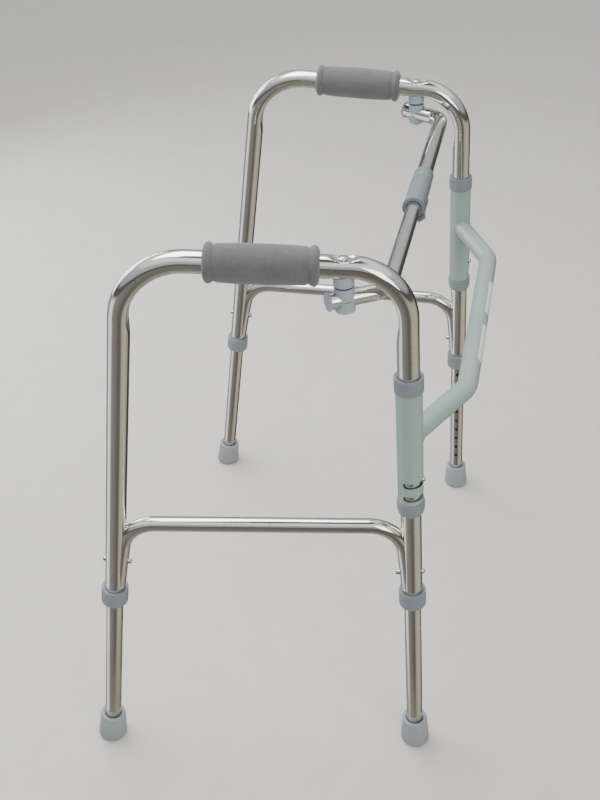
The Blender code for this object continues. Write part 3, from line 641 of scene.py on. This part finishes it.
def through_leg(side, leg, height, direction=1):
    """+Z across the leg at a height, towards the other leg, or away from it when the direction is -1."""
    return LEG[side, leg] @ Matrix.Translation((0, 0, height)) @ along_x(direction)


def in_plane(side, leg, height):
    """The point on a leg's axis at a height in the side frame's plane, in that plane's frame."""
    local = PLANE[side].inverted() @ LEG[side, leg]
    direction = local.to_3x3() @ Vector((0, 0, 1))
    return local.translation + direction * (height / direction.z)


def top_bar(side, back):
    """The top bar's axis at a distance back from the front foot, and its slope."""
    front, rear = in_plane(side, "front", TOP_FRONT), in_plane(side, "rear", TOP_REAR)
    slope = (rear.z - front.z) / (rear.x - front.x)
    return Vector((back, 0, front.z + slope * (back - front.x))), math.atan(slope)


def pivot_matrix(side):
    """+Z up along the pivot bolt, from the top bar's axis."""
    centre, _ = top_bar(side, PIVOT_AT)
    matrix = LEG[side, "front"].copy()
    matrix.translation = PLANE[side] @ centre
    return matrix


def side_path(side):
    corners = [in_plane(side, "front", FRAME_END), in_plane(side, "front", TOP_FRONT),
               in_plane(side, "rear", TOP_REAR), in_plane(side, "rear", FRAME_END)]
    return rounded_path(corners, (FRONT_BEND, REAR_BEND))


# ------------------------------ side frames

def raised(value, floor, blend):
    """The larger of two numbers, with the corner between them rounded."""
    return max(value, floor) + max(blend - abs(value - floor), 0.0) ** 2 / (4 * blend)


def press_tube(side):
    """Dents the tube: a dished seat for the bolt head, and bends crushed flat on the inside.

    Each crushed flat runs out in a point just below its bend, where the bending die let go.
    """
    pivot, _ = top_bar(side, PIVOT_AT)
    front, rear = in_plane(side, "front", TOP_FRONT), in_plane(side, "rear", TOP_REAR)

    def crush(place, corner, reach):
        below = (place.z - corner.z + CRUSH_BELOW) / CRUSH_POINT
        beyond = (reach - abs(place.x - corner.x)) / CRUSH_FADE
        return min(max(below, 0.0), 1.0) * smooth_step(beyond)

    def form(place, inwards, across):
        near = math.hypot((place.x - pivot.x) / SEAT_HALF_LENGTH, across / SEAT_HALF_WIDTH)
        seat = smooth_step(SEAT_STEEPNESS * (SEAT_RIM - near))
        if inwards < 0 and seat > 0:
            inwards = raised(inwards, -TUBE_R + SEAT_DEPTH * seat - SEAT_EDGE, SEAT_EDGE)
        press = max(crush(place, front, CRUSH_REACH["front"]), crush(place, rear, CRUSH_REACH["rear"]))
        if inwards > 0 and press > 0:
            inwards = -raised(-inwards, -TUBE_R + CRUSH_DEPTH * press, CRUSH_EDGE)
        return inwards, across * (1 + CRUSH_SPREAD * press)

    return form


def build_side_tube(side):
    """The bent main tube, with holes for its snap buttons and its fold-stop button."""
    path = side_path(side)
    bm = swept(path, Vector((0, 1, 0)), TUBE_R, TUBE_R - TUBE_WALL, 64, 0.0025, press_tube(side))
    name = f"{side}_side_frame_tube"
    piece = finish_piece(f"{side}_main_tube", bm, f"{side}_side", "chrome", PLANE[side], [name])
    cutters = []
    for leg, height in SNAP_AT.items():
        cutters.append((rod(BUTTON_HOLE_R, -0.03, 0.03), through_leg(side, leg, height)))
    cutters.append((rod(BUTTON_HOLE_R, 0.005, 0.03), through_leg(side, "front", LOCK_BUTTON_AT, -1)))
    cut_away(piece, cutters)


def build_lower_bar(side):
    """The lower bar, with its ends turned down along the legs and flattened a little against them."""
    tail_height = COLLAR_HIGH + 5 * GAP
    tail, corner = Vector((LOWER_TAIL, 0, 0)), Vector((LOWER_CORNER, 0, 0))
    corners = [in_plane(side, "front", tail_height) + tail,
               in_plane(side, "front", LOWER_HEIGHT) + corner,
               in_plane(side, "rear", LOWER_HEIGHT) - corner,
               in_plane(side, "rear", tail_height) - tail]
    path = rounded_path(corners, (LOWER_BEND, LOWER_BEND))

    def form(place, inwards, across):
        low = smooth_step((LOWER_HEIGHT - FLAT_BELOW_BAR - place.z) / FLAT_FADE)
        return inwards * (1 - FLAT_THINNER * low), across * (1 + FLAT_WIDER * low)

    bm = swept(path, Vector((0, 1, 0)), LOWER_R, None, 32, 0.008, form)
    name = f"{side}_lower_bar"
    piece = finish_piece(f"{side}_lower_rail", bm, f"{side}_side", "chrome", PLANE[side], [name])
    cutters = []
    for leg, height in SNAP_AT.items():
        cutters.append((rod(TUBE_R + SLIVER, 0.2, 0.5, 48), LEG[side, leg]))
        cutters.append((rod(BUTTON_HOLE_R, 0.012, 0.03), through_leg(side, leg, height)))
    cut_away(piece, cutters)


def build_grip(side):
    """A foam sleeve: a soft bead at each end, a groove beside it, and a barrel between."""
    bore, half = TUBE_R + GAP, (GRIP_TO - GRIP_FROM) / 2

    def ridge(end, height, middle, width):
        return height * math.exp(-((end - middle) / width) ** 2)

    outline = [(bore, -half)]
    for i in range(GRIP_ROWS + 1):
        at = -half + 2 * half * i / GRIP_ROWS
        end = half - abs(at)
        barrel = GRIP_END_R + GRIP_BARREL * (1 - abs(at / half) ** GRIP_ROUNDNESS)
        corner = GRIP_EDGE * max(0.0, 1 - end / GRIP_EDGE_LENGTH) ** 2
        outline.append((barrel + ridge(end, *GRIP_BEAD) - ridge(end, *GRIP_GROOVE) - corner, at))
    outline.append((bore, half))
    bm = turned(outline, 72)
    for vertex in bm.verts:
        radius = math.hypot(vertex.co.x, vertex.co.y)
        if radius > bore + 0.001:
            lump = noise.noise(vertex.co * GRIP_LUMPS[0] + Vector((3.1 * SIDES[side], 0, 0))) * GRIP_LUMPS[1]
            lump += noise.noise(vertex.co * GRIP_GRAIN[0]) * GRIP_GRAIN[1]
            vertex.co.x *= 1 + lump / radius
            vertex.co.y *= 1 + lump / radius
    centre, slope = top_bar(side, (GRIP_FROM + GRIP_TO) / 2)
    place = PLANE[side] @ Matrix.Translation(centre) @ Matrix.Rotation(math.pi / 2 - slope, 4, "Y")
    piece = finish_piece(f"{side}_foam_grip", bm, f"{side}_side", "foam", place, [f"{side}_hand_grip"], 60)


def build_leg(side, leg):
    """The collar at the end of a leg, what slides in it, and the snap buttons."""
    axis, body = LEG[side, leg], f"{side}_side"
    name = f"{side}_{leg}"
    collar = [(EXTENSION_R + GAP, COLLAR_LOW), (COLLAR_R - 0.0004, COLLAR_LOW),
              (COLLAR_R, COLLAR_LOW + 0.003), (COLLAR_R, COLLAR_HIGH), (TUBE_R + 0.0002, COLLAR_HIGH),
              (TUBE_R + 0.0002, FRAME_END - GAP), (EXTENSION_R + GAP, FRAME_END - GAP)]
    finish_piece(f"{name}_end_collar", turned(soften(collar, 0.0011)), body, "bush_grey", axis,
                 [f"{name}_leg_collar"])
    build_extension(side, leg)
    build_foot(side, leg)
    for which, direction in (("inner", 1), ("outer", -1)):
        start, reach = EXTENSION_R + GAP, BUTTON_REACH[which]
        pin = [(0, start), (BUTTON_R, start), (BUTTON_R, reach - BUTTON_DOME)]
        pin += dome(BUTTON_R, reach - BUTTON_DOME, BUTTON_DOME, (20, 40, 60, 78))
        pin.append((0, reach))
        place = through_leg(side, leg, SNAP_AT[leg], direction)
        button = f"{name}_snap_button_{which}"
        finish_piece(f"{button}_pin", turned(pin, 24), f"{name}_snap_{which}", "steel", place, [button])
    paint_node(f"{name}_snap_spring", "steel")


def build_extension(side, leg):
    """The sliding tube, with its adjusting holes, and in a front leg a row of small ones facing inwards."""
    snap = SNAP_AT[leg]
    inner, low, high = EXTENSION_R - EXTENSION_WALL, EXTENSION_LOW, snap + EXTENSION_ABOVE_SNAP
    outline = soften([(inner, low), (EXTENSION_R, low), (EXTENSION_R, high), (inner, high)], 0.0004)
    name = f"{side}_{leg}_leg_extension"
    piece = finish_piece(f"{name}_tube", turned(outline), f"{side}_{leg}_extension", "brushed",
                         LEG[side, leg], [name])
    cutters = []
    for height in [snap - i * HOLE_PITCH for i in range(HOLE_COUNT)] + [LOW_HOLE_AT]:
        cutters.append((rod(HOLE_R, -0.02, 0.02), through_leg(side, leg, height)))
    if leg == "front":
        for i in range(INNER_HOLE_COUNT):
            lift = Matrix.Translation((0, 0, INNER_HOLE_AT + i * INNER_HOLE_PITCH))
            turn = Matrix.Rotation(-SIDES[side] * math.pi / 2, 4, "X")
            cutters.append((rod(INNER_HOLE_R, 0.005, 0.02), LEG[side, leg] @ lift @ turn))
    cut_away(piece, cutters)


def build_foot(side, leg):
    """A rubber tip with a rounded mouth, a waist, and a rounded edge to its flat sole."""
    bore = EXTENSION_R + GAP
    outline = [(0, 0.0005), (FOOT_R - 0.0022, 0.0005), (FOOT_R - 0.0006, 0.0013), (FOOT_R, 0.0036),
               (FOOT_R, 0.0080), (FOOT_R - 0.0004, 0.0120), (FOOT_R - 0.0010, 0.0200),
               (0.0182, 0.0310), (0.0178, FOOT_HEIGHT - 0.006), (0.0177, FOOT_HEIGHT - 0.0025),
               (0.0168, FOOT_HEIGHT - 0.0004), (0.0156, FOOT_HEIGHT), (bore + 0.0014, FOOT_HEIGHT - 0.0004),
               (bore, FOOT_HEIGHT - 0.002), (bore, EXTENSION_LOW - GAP), (0, EXTENSION_LOW - GAP)]
    name = f"{side}_{leg}_foot_tip"
    bm = turned(soften(outline, 0.0012, 2))
    axis = LEG[side, leg]
    flat = axis.inverted().to_3x3() @ Vector((0, 0, 1))
    for vertex in bm.verts:
        height = (axis @ vertex.co).z
        if vertex.co.z < SOLE_HEIGHT:
            share = 1 - vertex.co.z / SOLE_HEIGHT
            vertex.co.z -= (height - vertex.co.z) * share / flat.z
    lowest = min((axis @ vertex.co).z for vertex in bm.verts)
    for vertex in bm.verts:
        if vertex.co.z < SOLE_HEIGHT:
            vertex.co.z -= lowest * (1 - max(vertex.co.z, 0) / SOLE_HEIGHT)
    finish_piece(f"{name}_rubber", bm, f"{side}_{leg}_extension", "foot_rubber", axis, [name], 50)


def build_fold_stop(side):
    start, reach = TUBE_R - TUBE_WALL + GAP, LOCK_BUTTON_REACH
    pin = [(0, start), (BUTTON_R, start), (BUTTON_R, reach - 0.002), (BUTTON_R * 0.8, reach - 0.0008),
           (BUTTON_R * 0.45, reach - 0.0002), (0, reach)]
    place = through_leg(side, "front", LOCK_BUTTON_AT, -1)
    name = f"{side}_fold_stop_button"
    finish_piece(f"{name}_pin", turned(pin, 24), f"{side}_fold_stop", "steel", place, [name])


# ------------------------------ pivots and brace

def brace_corners(side):
    """A brace tube's plugged end, its bend, and where its bolt passes."""
    pivot = pivot_matrix(side) @ Vector((0, 0, -PIVOT_TO_BRACE))
    pivot.z = BRACE_HEIGHT
    bend_x = pivot.x - SIDES[side] * BRACE_SPLAY[side]
    bend = Vector((bend_x, FRONT_MIDDLE.y + BRACE_BEHIND_FEET, BRACE_HEIGHT))
    return pivot + (pivot - bend).normalized() * BRACE_STUB, bend, pivot


def facing(place, direction):
    """+Z along the direction, from the place."""
    return Matrix.Translation(place) @ direction.to_track_quat("Z", "Y").to_matrix().to_4x4()


def build_pivot(side):
    """Bolt, bush, saddles and nut, from the seat on the top bar down, and the right side's washer."""
    pivot, body, brace_body = pivot_matrix(side), f"{side}_side", BRACE_BODY[side]
    top = BOLT_SEAT
    head = [(0, top - 0.004), (BOLT_R, top - 0.004), (BOLT_R, top), (BOLT_HEAD_R, top),
            (BOLT_HEAD_R, top + BOLT_HEAD_EDGE)]
    head += dome(BOLT_HEAD_R, top + BOLT_HEAD_EDGE, BOLT_HEAD_DOME, (15, 30, 45, 60, 75))
    head.append((0, top + BOLT_HEAD_EDGE + BOLT_HEAD_DOME))
    finish_piece(f"{side}_bolt_head", turned(head, 36), body, "steel", pivot)
    bottom = {"left": BUSH_BOTTOM + 0.001, "right": 0.0008 - PIVOT_TO_BRACE - NUT_DEPTH}[side]
    shank = [(0, bottom), (BOLT_R, bottom), (BOLT_R, top), (0, top)]
    finish_piece(f"{side}_bolt_shank", turned(soften(shank, 0.0004), 24), body, "dark_steel", pivot,
                 [f"{side}_pivot_bolt"])
    bush = soften([(BOLT_R + GAP, BUSH_BOTTOM), (SADDLE_R, BUSH_BOTTOM), (SADDLE_R, BUSH_TOP),
                   (BOLT_R + GAP, BUSH_TOP)], 0.0009)
    piece = finish_piece(f"{side}_top_bush", turned(bush), body, "saddle_grey", pivot,
                         [f"{side}_pivot_bush"])
    bar = swept(side_path(side), Vector((0, 1, 0)), TUBE_R + SLIVER, None, 48, 0.02)
    cut_away(piece, [(bar, PLANE[side])])
    brace, bore, high = -PIVOT_TO_BRACE, BRACE_BORE[side], SADDLE_TOP[side]
    low = brace - LOWER_SADDLE_DEPTH
    _, bend, centre = brace_corners(side)
    lie = facing(centre, centre - bend)
    upper = [(bore, brace + 0.0006), (SADDLE_R, brace + 0.0006), (SADDLE_R, high), (bore, high)]
    lower = [(bore, low), (SADDLE_R, low), (SADDLE_R, brace - 0.0006), (bore, brace - 0.0006)]
    for level, outline in (("upper", upper), ("lower", lower)):
        piece = finish_piece(f"{side}_{level}_saddle", turned(soften(outline, 0.0012)), brace_body,
                             "saddle_grey", pivot, [f"{side}_brace_{level}_saddle"])
        cut_away(piece, [(rod(BRACE_R[side] + 2 * SLIVER, -0.05, 0.05, 48), lie)])
    nut_low, nut_high = brace - NUT_DEPTH, low - GAP
    nut = [(BOLT_R + SLIVER, nut_low), (NUT_R, nut_low), (NUT_R, nut_high), (BOLT_R + SLIVER, nut_high)]
    if side == "right":
        finish_piece("right_lock_nut", turned(soften(nut, 0.0006), 6), body, "dark_steel", pivot,
                     ["right_pivot_nut"], 25)
        washer = [(0.003, high + GAP), (SADDLE_R - 0.0004, high + GAP),
                  (SADDLE_R - 0.0004, BUSH_BOTTOM - GAP), (0.003, BUSH_BOTTOM - GAP)]
        finish_piece("right_thrust_washer", turned(soften(washer, 0.0002)), "brace_washer", "dark_steel",
                     pivot, ["right_pivot_washer"])
        return
    shape = [(0, nut_low), (NUT_R, nut_low), (NUT_R, nut_high), (BOLT_R, nut_high), (BOLT_R, high - 0.001),
             (0, high - 0.001)]
    finish_piece("left_lower_bolt", turned(soften(shape, 0.0005), 24), brace_body, "dark_steel", pivot,
                 ["left_brace_bolt"])


def build_brace():
    """Both tubes with their end plugs, and the collar over the joint."""
    for side, node in (("left", "brace_outer_tube"), ("right", "brace_inner_tube")):
        body = BRACE_BODY[side]
        plug_end, bend, _ = brace_corners(side)
        middle = Vector((FRONT_MIDDLE.x + BRACE_TUBE_END[side], bend.y, BRACE_HEIGHT))
        path = rounded_path([plug_end, bend, middle], (BRACE_BEND,))
        bm = swept(path, Vector((0, 0, 1)), BRACE_R[side], BRACE_R[side] - BRACE_WALL, 40, 0.01)
        piece = finish_piece(f"{side}_brace_tube", bm, body, "chrome", None, [node])
        cut_away(piece, [(rod(BRACE_BORE[side] + GAP, -0.07, 0.0), pivot_matrix(side))])
        stem, cap = BRACE_R[side] - BRACE_WALL - GAP, BRACE_R[side] + 0.0012
        plug = [(0, -0.007), (stem, -0.007), (stem, GAP), (cap, GAP), (cap, 0.0034), (0, 0.0034)]
        finish_piece(f"{side}_brace_cap", turned(soften(plug, 0.0011)), body, "saddle_grey",
                     facing(plug_end, plug_end - bend), [f"{side}_brace_end_plug"])
    build_brace_collar()
    paint_node("brace_guide_bush", "bush_grey")


def release_matrix():
    """+Z along the brace and +Y out through the lever, from the lever's hinge."""
    outwards = Vector((0, -math.sin(LEVER_TURN), -math.cos(LEVER_TURN)))
    along = Vector((1, 0, 0))
    hinge = (BRACE_MIDDLE[0] + LEVER_HINGE_AT, *BRACE_MIDDLE[1:])
    return axes_at(hinge, outwards.cross(along), outwards, along)


def box_mesh(low, high):
    bm = bmesh.new()
    bmesh.ops.create_cube(bm, size=1.0)
    size = Vector(high) - Vector(low)
    middle = (Vector(high) + Vector(low)) / 2
    bmesh.ops.transform(bm, matrix=Matrix.Translation(middle) @ Matrix.Diagonal((*size, 1)), verts=bm.verts)
    return bm


def build_brace_collar():
    """The moulded collar, with a ring of relief near its left end, and the release lever in its pocket."""
    start, stop, radius = BRACE_COLLAR_FROM, BRACE_COLLAR_TO, BRACE_COLLAR_R
    loose, tight = BRACE_R["right"] + GAP, BRACE_R["left"] + GAP
    step = BRACE_TUBE_END["left"] - GAP
    outline = [(loose, start), (radius + 0.0008, start), (radius + 0.0008, start + 0.0065),
               (radius, start + 0.0080), (radius, stop - 0.026), (radius - 0.0014, stop - 0.0245),
               (radius - 0.0014, stop - 0.0195), (radius - 0.0005, stop - 0.018),
               (radius - 0.0005, stop), (tight, stop), (tight, step), (loose, step)]
    place = Matrix.Translation(BRACE_MIDDLE) @ along_x()
    piece = finish_piece("brace_lock_sleeve", turned(soften(outline, 0.0009)), "brace_outer_half",
                         "collar_grey", place, ["brace_collar"])
    pocket = box_mesh((-0.0055, radius - 0.0010, -0.050), (0.0055, 0.03, 0.0015))
    cut_away(piece, [(pocket, release_matrix())])
    inner, outer = radius - 0.0007, radius + 0.0022
    outline = soften([(inner, 0.001), (outer - 0.001, 0.001), (outer, -0.004), (outer, -0.036),
                      (outer + 0.003, -0.044), (outer + 0.003, -0.048), (outer + 0.0014, -0.0495),
                      (inner + 0.0016, -0.0462), (inner, -0.043)], 0.0012)
    bm = bmesh.new()
    edges = []
    for across in (-LEVER_HALF_WIDTH, LEVER_HALF_WIDTH):
        edges.append([bm.verts.new((across, out, along)) for out, along in outline])
        bm.faces.new(edges[-1])
    join_rings(bm, *edges)
    lever = finish_piece("brace_lock_lever", bm, "brace_lever", "collar_grey", release_matrix(),
                         ["brace_release_lever"])
    edge = lever.modifiers.new("edge", "BEVEL")
    edge.width, edge.segments, edge.limit_method = 0.0006, 2, "ANGLE"


# ------------------------------ crossbar, sleeves and labels

def sleeve_matrix(side):
    """The front leg's axis, with +X dead ahead."""
    up = Vector(JOINTS[f"{side}_front_leg_slide"]["axis"])
    ahead = Vector((0, -1, 0))
    ahead = (ahead - up * ahead.dot(up)).normalized()
    return axes_at(MOUNTS[f"{side}_front_sole"], ahead, up.cross(ahead), up)


def build_sleeve(side):
    """The painted sleeve with its two slots, and a bush in each end."""
    place, bore = sleeve_matrix(side), SLEEVE_R - SLEEVE_WALL
    outline = [(bore, SLEEVE_LOW), (SLEEVE_R, SLEEVE_LOW), (SLEEVE_R, SLEEVE_HIGH), (bore, SLEEVE_HIGH)]
    piece = finish_piece(f"{side}_painted_sleeve", turned(soften(outline, 0.0004), 64), "crossbar", "sage",
                         place, [f"{side}_sleeve"])
    start, stop = sorted((SIDES[side] * SLOT_FROM, SIDES[side] * SLOT_TO))
    cutters = []
    for height in SLOT_AT:
        slot = slot_shape(0.0130, 0.019, SLOT_HEIGHT, start, stop)
        cutters.append((slot, place @ Matrix.Translation((0, 0, height))))
    cut_away(piece, cutters)
    inner, leg = bore - GAP, TUBE_R + 0.0003
    upper = [(leg, SLEEVE_HIGH - 0.012), (inner, SLEEVE_HIGH - 0.012), (inner, SLEEVE_HIGH + GAP),
             (BUSH_R, SLEEVE_HIGH + GAP), (BUSH_R, SLEEVE_HIGH + BUSH_LENGTH),
             (leg, SLEEVE_HIGH + BUSH_LENGTH)]
    end = SLEEVE_LOW - BUSH_LENGTH
    lower = [(leg, SLEEVE_LOW + 0.005), (inner, SLEEVE_LOW + 0.005), (inner, SLEEVE_LOW - GAP),
             (BUSH_R, SLEEVE_LOW - GAP), (BUSH_R, end + 0.009), (BUSH_R - 0.0016, end + 0.0015),
             (BUSH_R - 0.0030, end), (leg, end)]
    for level, shape in (("top", upper), ("bottom", lower)):
        finish_piece(f"{side}_{level}_guide", turned(soften(shape, 0.0011)), "crossbar", "bush_grey", place,
                     [f"{side}_sleeve_{level}_bush"])


def build_crossbar():
    """The painted crossbar, bowed forwards and welded to both sleeves."""
    corners = []
    for side, sign in SIDES.items():
        up = Vector(JOINTS[f"{side}_front_leg_slide"]["axis"])
        on_leg = MOUNTS[f"{side}_front_sole"] + up * (CROSSBAR_HEIGHT / up.z)
        bend = FRONT_MIDDLE + Vector((sign * CROSSBAR_HALF_STRAIGHT, -CROSSBAR_AHEAD, CROSSBAR_HEIGHT))
        corners.append((on_leg, bend))
    line = [corners[0][0], corners[0][1], corners[1][1], corners[1][0]]
    path = rounded_path(line, (CROSSBAR_BEND, CROSSBAR_BEND))
    bm = swept(path, Vector((0, 0, 1)), TUBE_R, None, 48, 0.01)
    piece = finish_piece("crossbar_tube", bm, "crossbar", "sage", None, ["front_crossbar"])
    cut_away(piece, [(rod(SLEEVE_R + SLIVER, 0.4, 0.65, 64), sleeve_matrix(side)) for side in SIDES])
    for side in SIDES:
        build_weld(side, *corners[list(SIDES).index(side)])


def build_weld(side, on_leg, bend):
    """The rounded fillet of weld, under the paint, where the crossbar meets the sleeve."""
    sleeve, outward = sleeve_matrix(side), (bend - on_leg).normalized()
    side_way = Vector((0, 0, 1)).cross(outward).normalized()
    up = outward.cross(side_way)
    back = sleeve.inverted()
    bm = bmesh.new()
    rings = []
    for i in range(WELD_STEPS):
        turn = 2 * math.pi * i / WELD_STEPS
        start = on_leg + (side_way * math.cos(turn) + up * math.sin(turn)) * (TUBE_R - 0.0002)
        low, high = 0.0, 0.03
        for _ in range(30):
            reach = (low + high) / 2
            local = back @ (start + outward * reach)
            low, high = (reach, high) if math.hypot(local.x, local.y) < SLEEVE_R else (low, reach)
        centre = start + outward * low
        away = (centre - on_leg - outward * low).normalized()
        size = WELD_BEAD * (1 + WELD_RIPPLE * math.sin(turn * WELD_RIPPLES))
        ring = []
        for k in range(WELD_SIDES):
            angle = 2 * math.pi * k / WELD_SIDES
            ring.append(bm.verts.new(centre + size * (away * math.cos(angle) + outward * math.sin(angle))))
        rings.append(ring)
    for first, second in zip(rings, rings[1:] + rings[:1]):
        join_rings(bm, first, second)
    finish_piece(f"{side}_crossbar_weld", bm, "crossbar", "sage", None, (), 80)


def build_label(name, node):
    """A blank vinyl label with rounded corners, wrapped on the front of the crossbar."""
    low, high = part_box(node)
    centre, half = (low.x + high.x) / 2, (high.x - low.x) / 2
    radius, corner = TUBE_R + GAP, LABEL_CORNER
    bm = bmesh.new()
    grid = []
    for i in range(LABEL_COLUMNS + 1):
        along = -half + 2 * half * i / LABEL_COLUMNS
        from_end = half - abs(along)
        shrink = 0.0 if from_end > corner else corner - math.sqrt(corner ** 2 - (corner - from_end) ** 2)
        limit = LABEL_SPREAD - shrink / radius
        line = []
        for k in range(LABEL_ROWS + 1):
            angle = LABEL_TILT - limit + 2 * limit * k / LABEL_ROWS
            line.append(bm.verts.new((along, -radius * math.cos(angle), radius * math.sin(angle))))
        grid.append(line)
    for first, second in zip(grid, grid[1:]):
        for k in range(LABEL_ROWS):
            bm.faces.new((first[k], first[k + 1], second[k + 1], second[k]))
    place = Matrix.Translation((centre, FRONT_MIDDLE.y - CROSSBAR_AHEAD, CROSSBAR_HEIGHT))
    piece = finish_piece(name, bm, "crossbar", "label", place, [node])
    skin = piece.modifiers.new("thickness", "SOLIDIFY")
    skin.thickness, skin.offset = LABEL_THICKNESS, 0.0


# ------------------------------ the whole frame

def main():
    put_camera()
    set_studio()
    for side in SIDES:
        build_side_tube(side)
        build_lower_bar(side)
        build_grip(side)
        for leg in SNAP_AT:
            build_leg(side, leg)
        build_fold_stop(side)
        build_pivot(side)
        build_sleeve(side)
    build_brace()
    build_crossbar()
    build_label("left_blank_label", "left_label")
    build_label("right_blank_label", "right_label")


main()
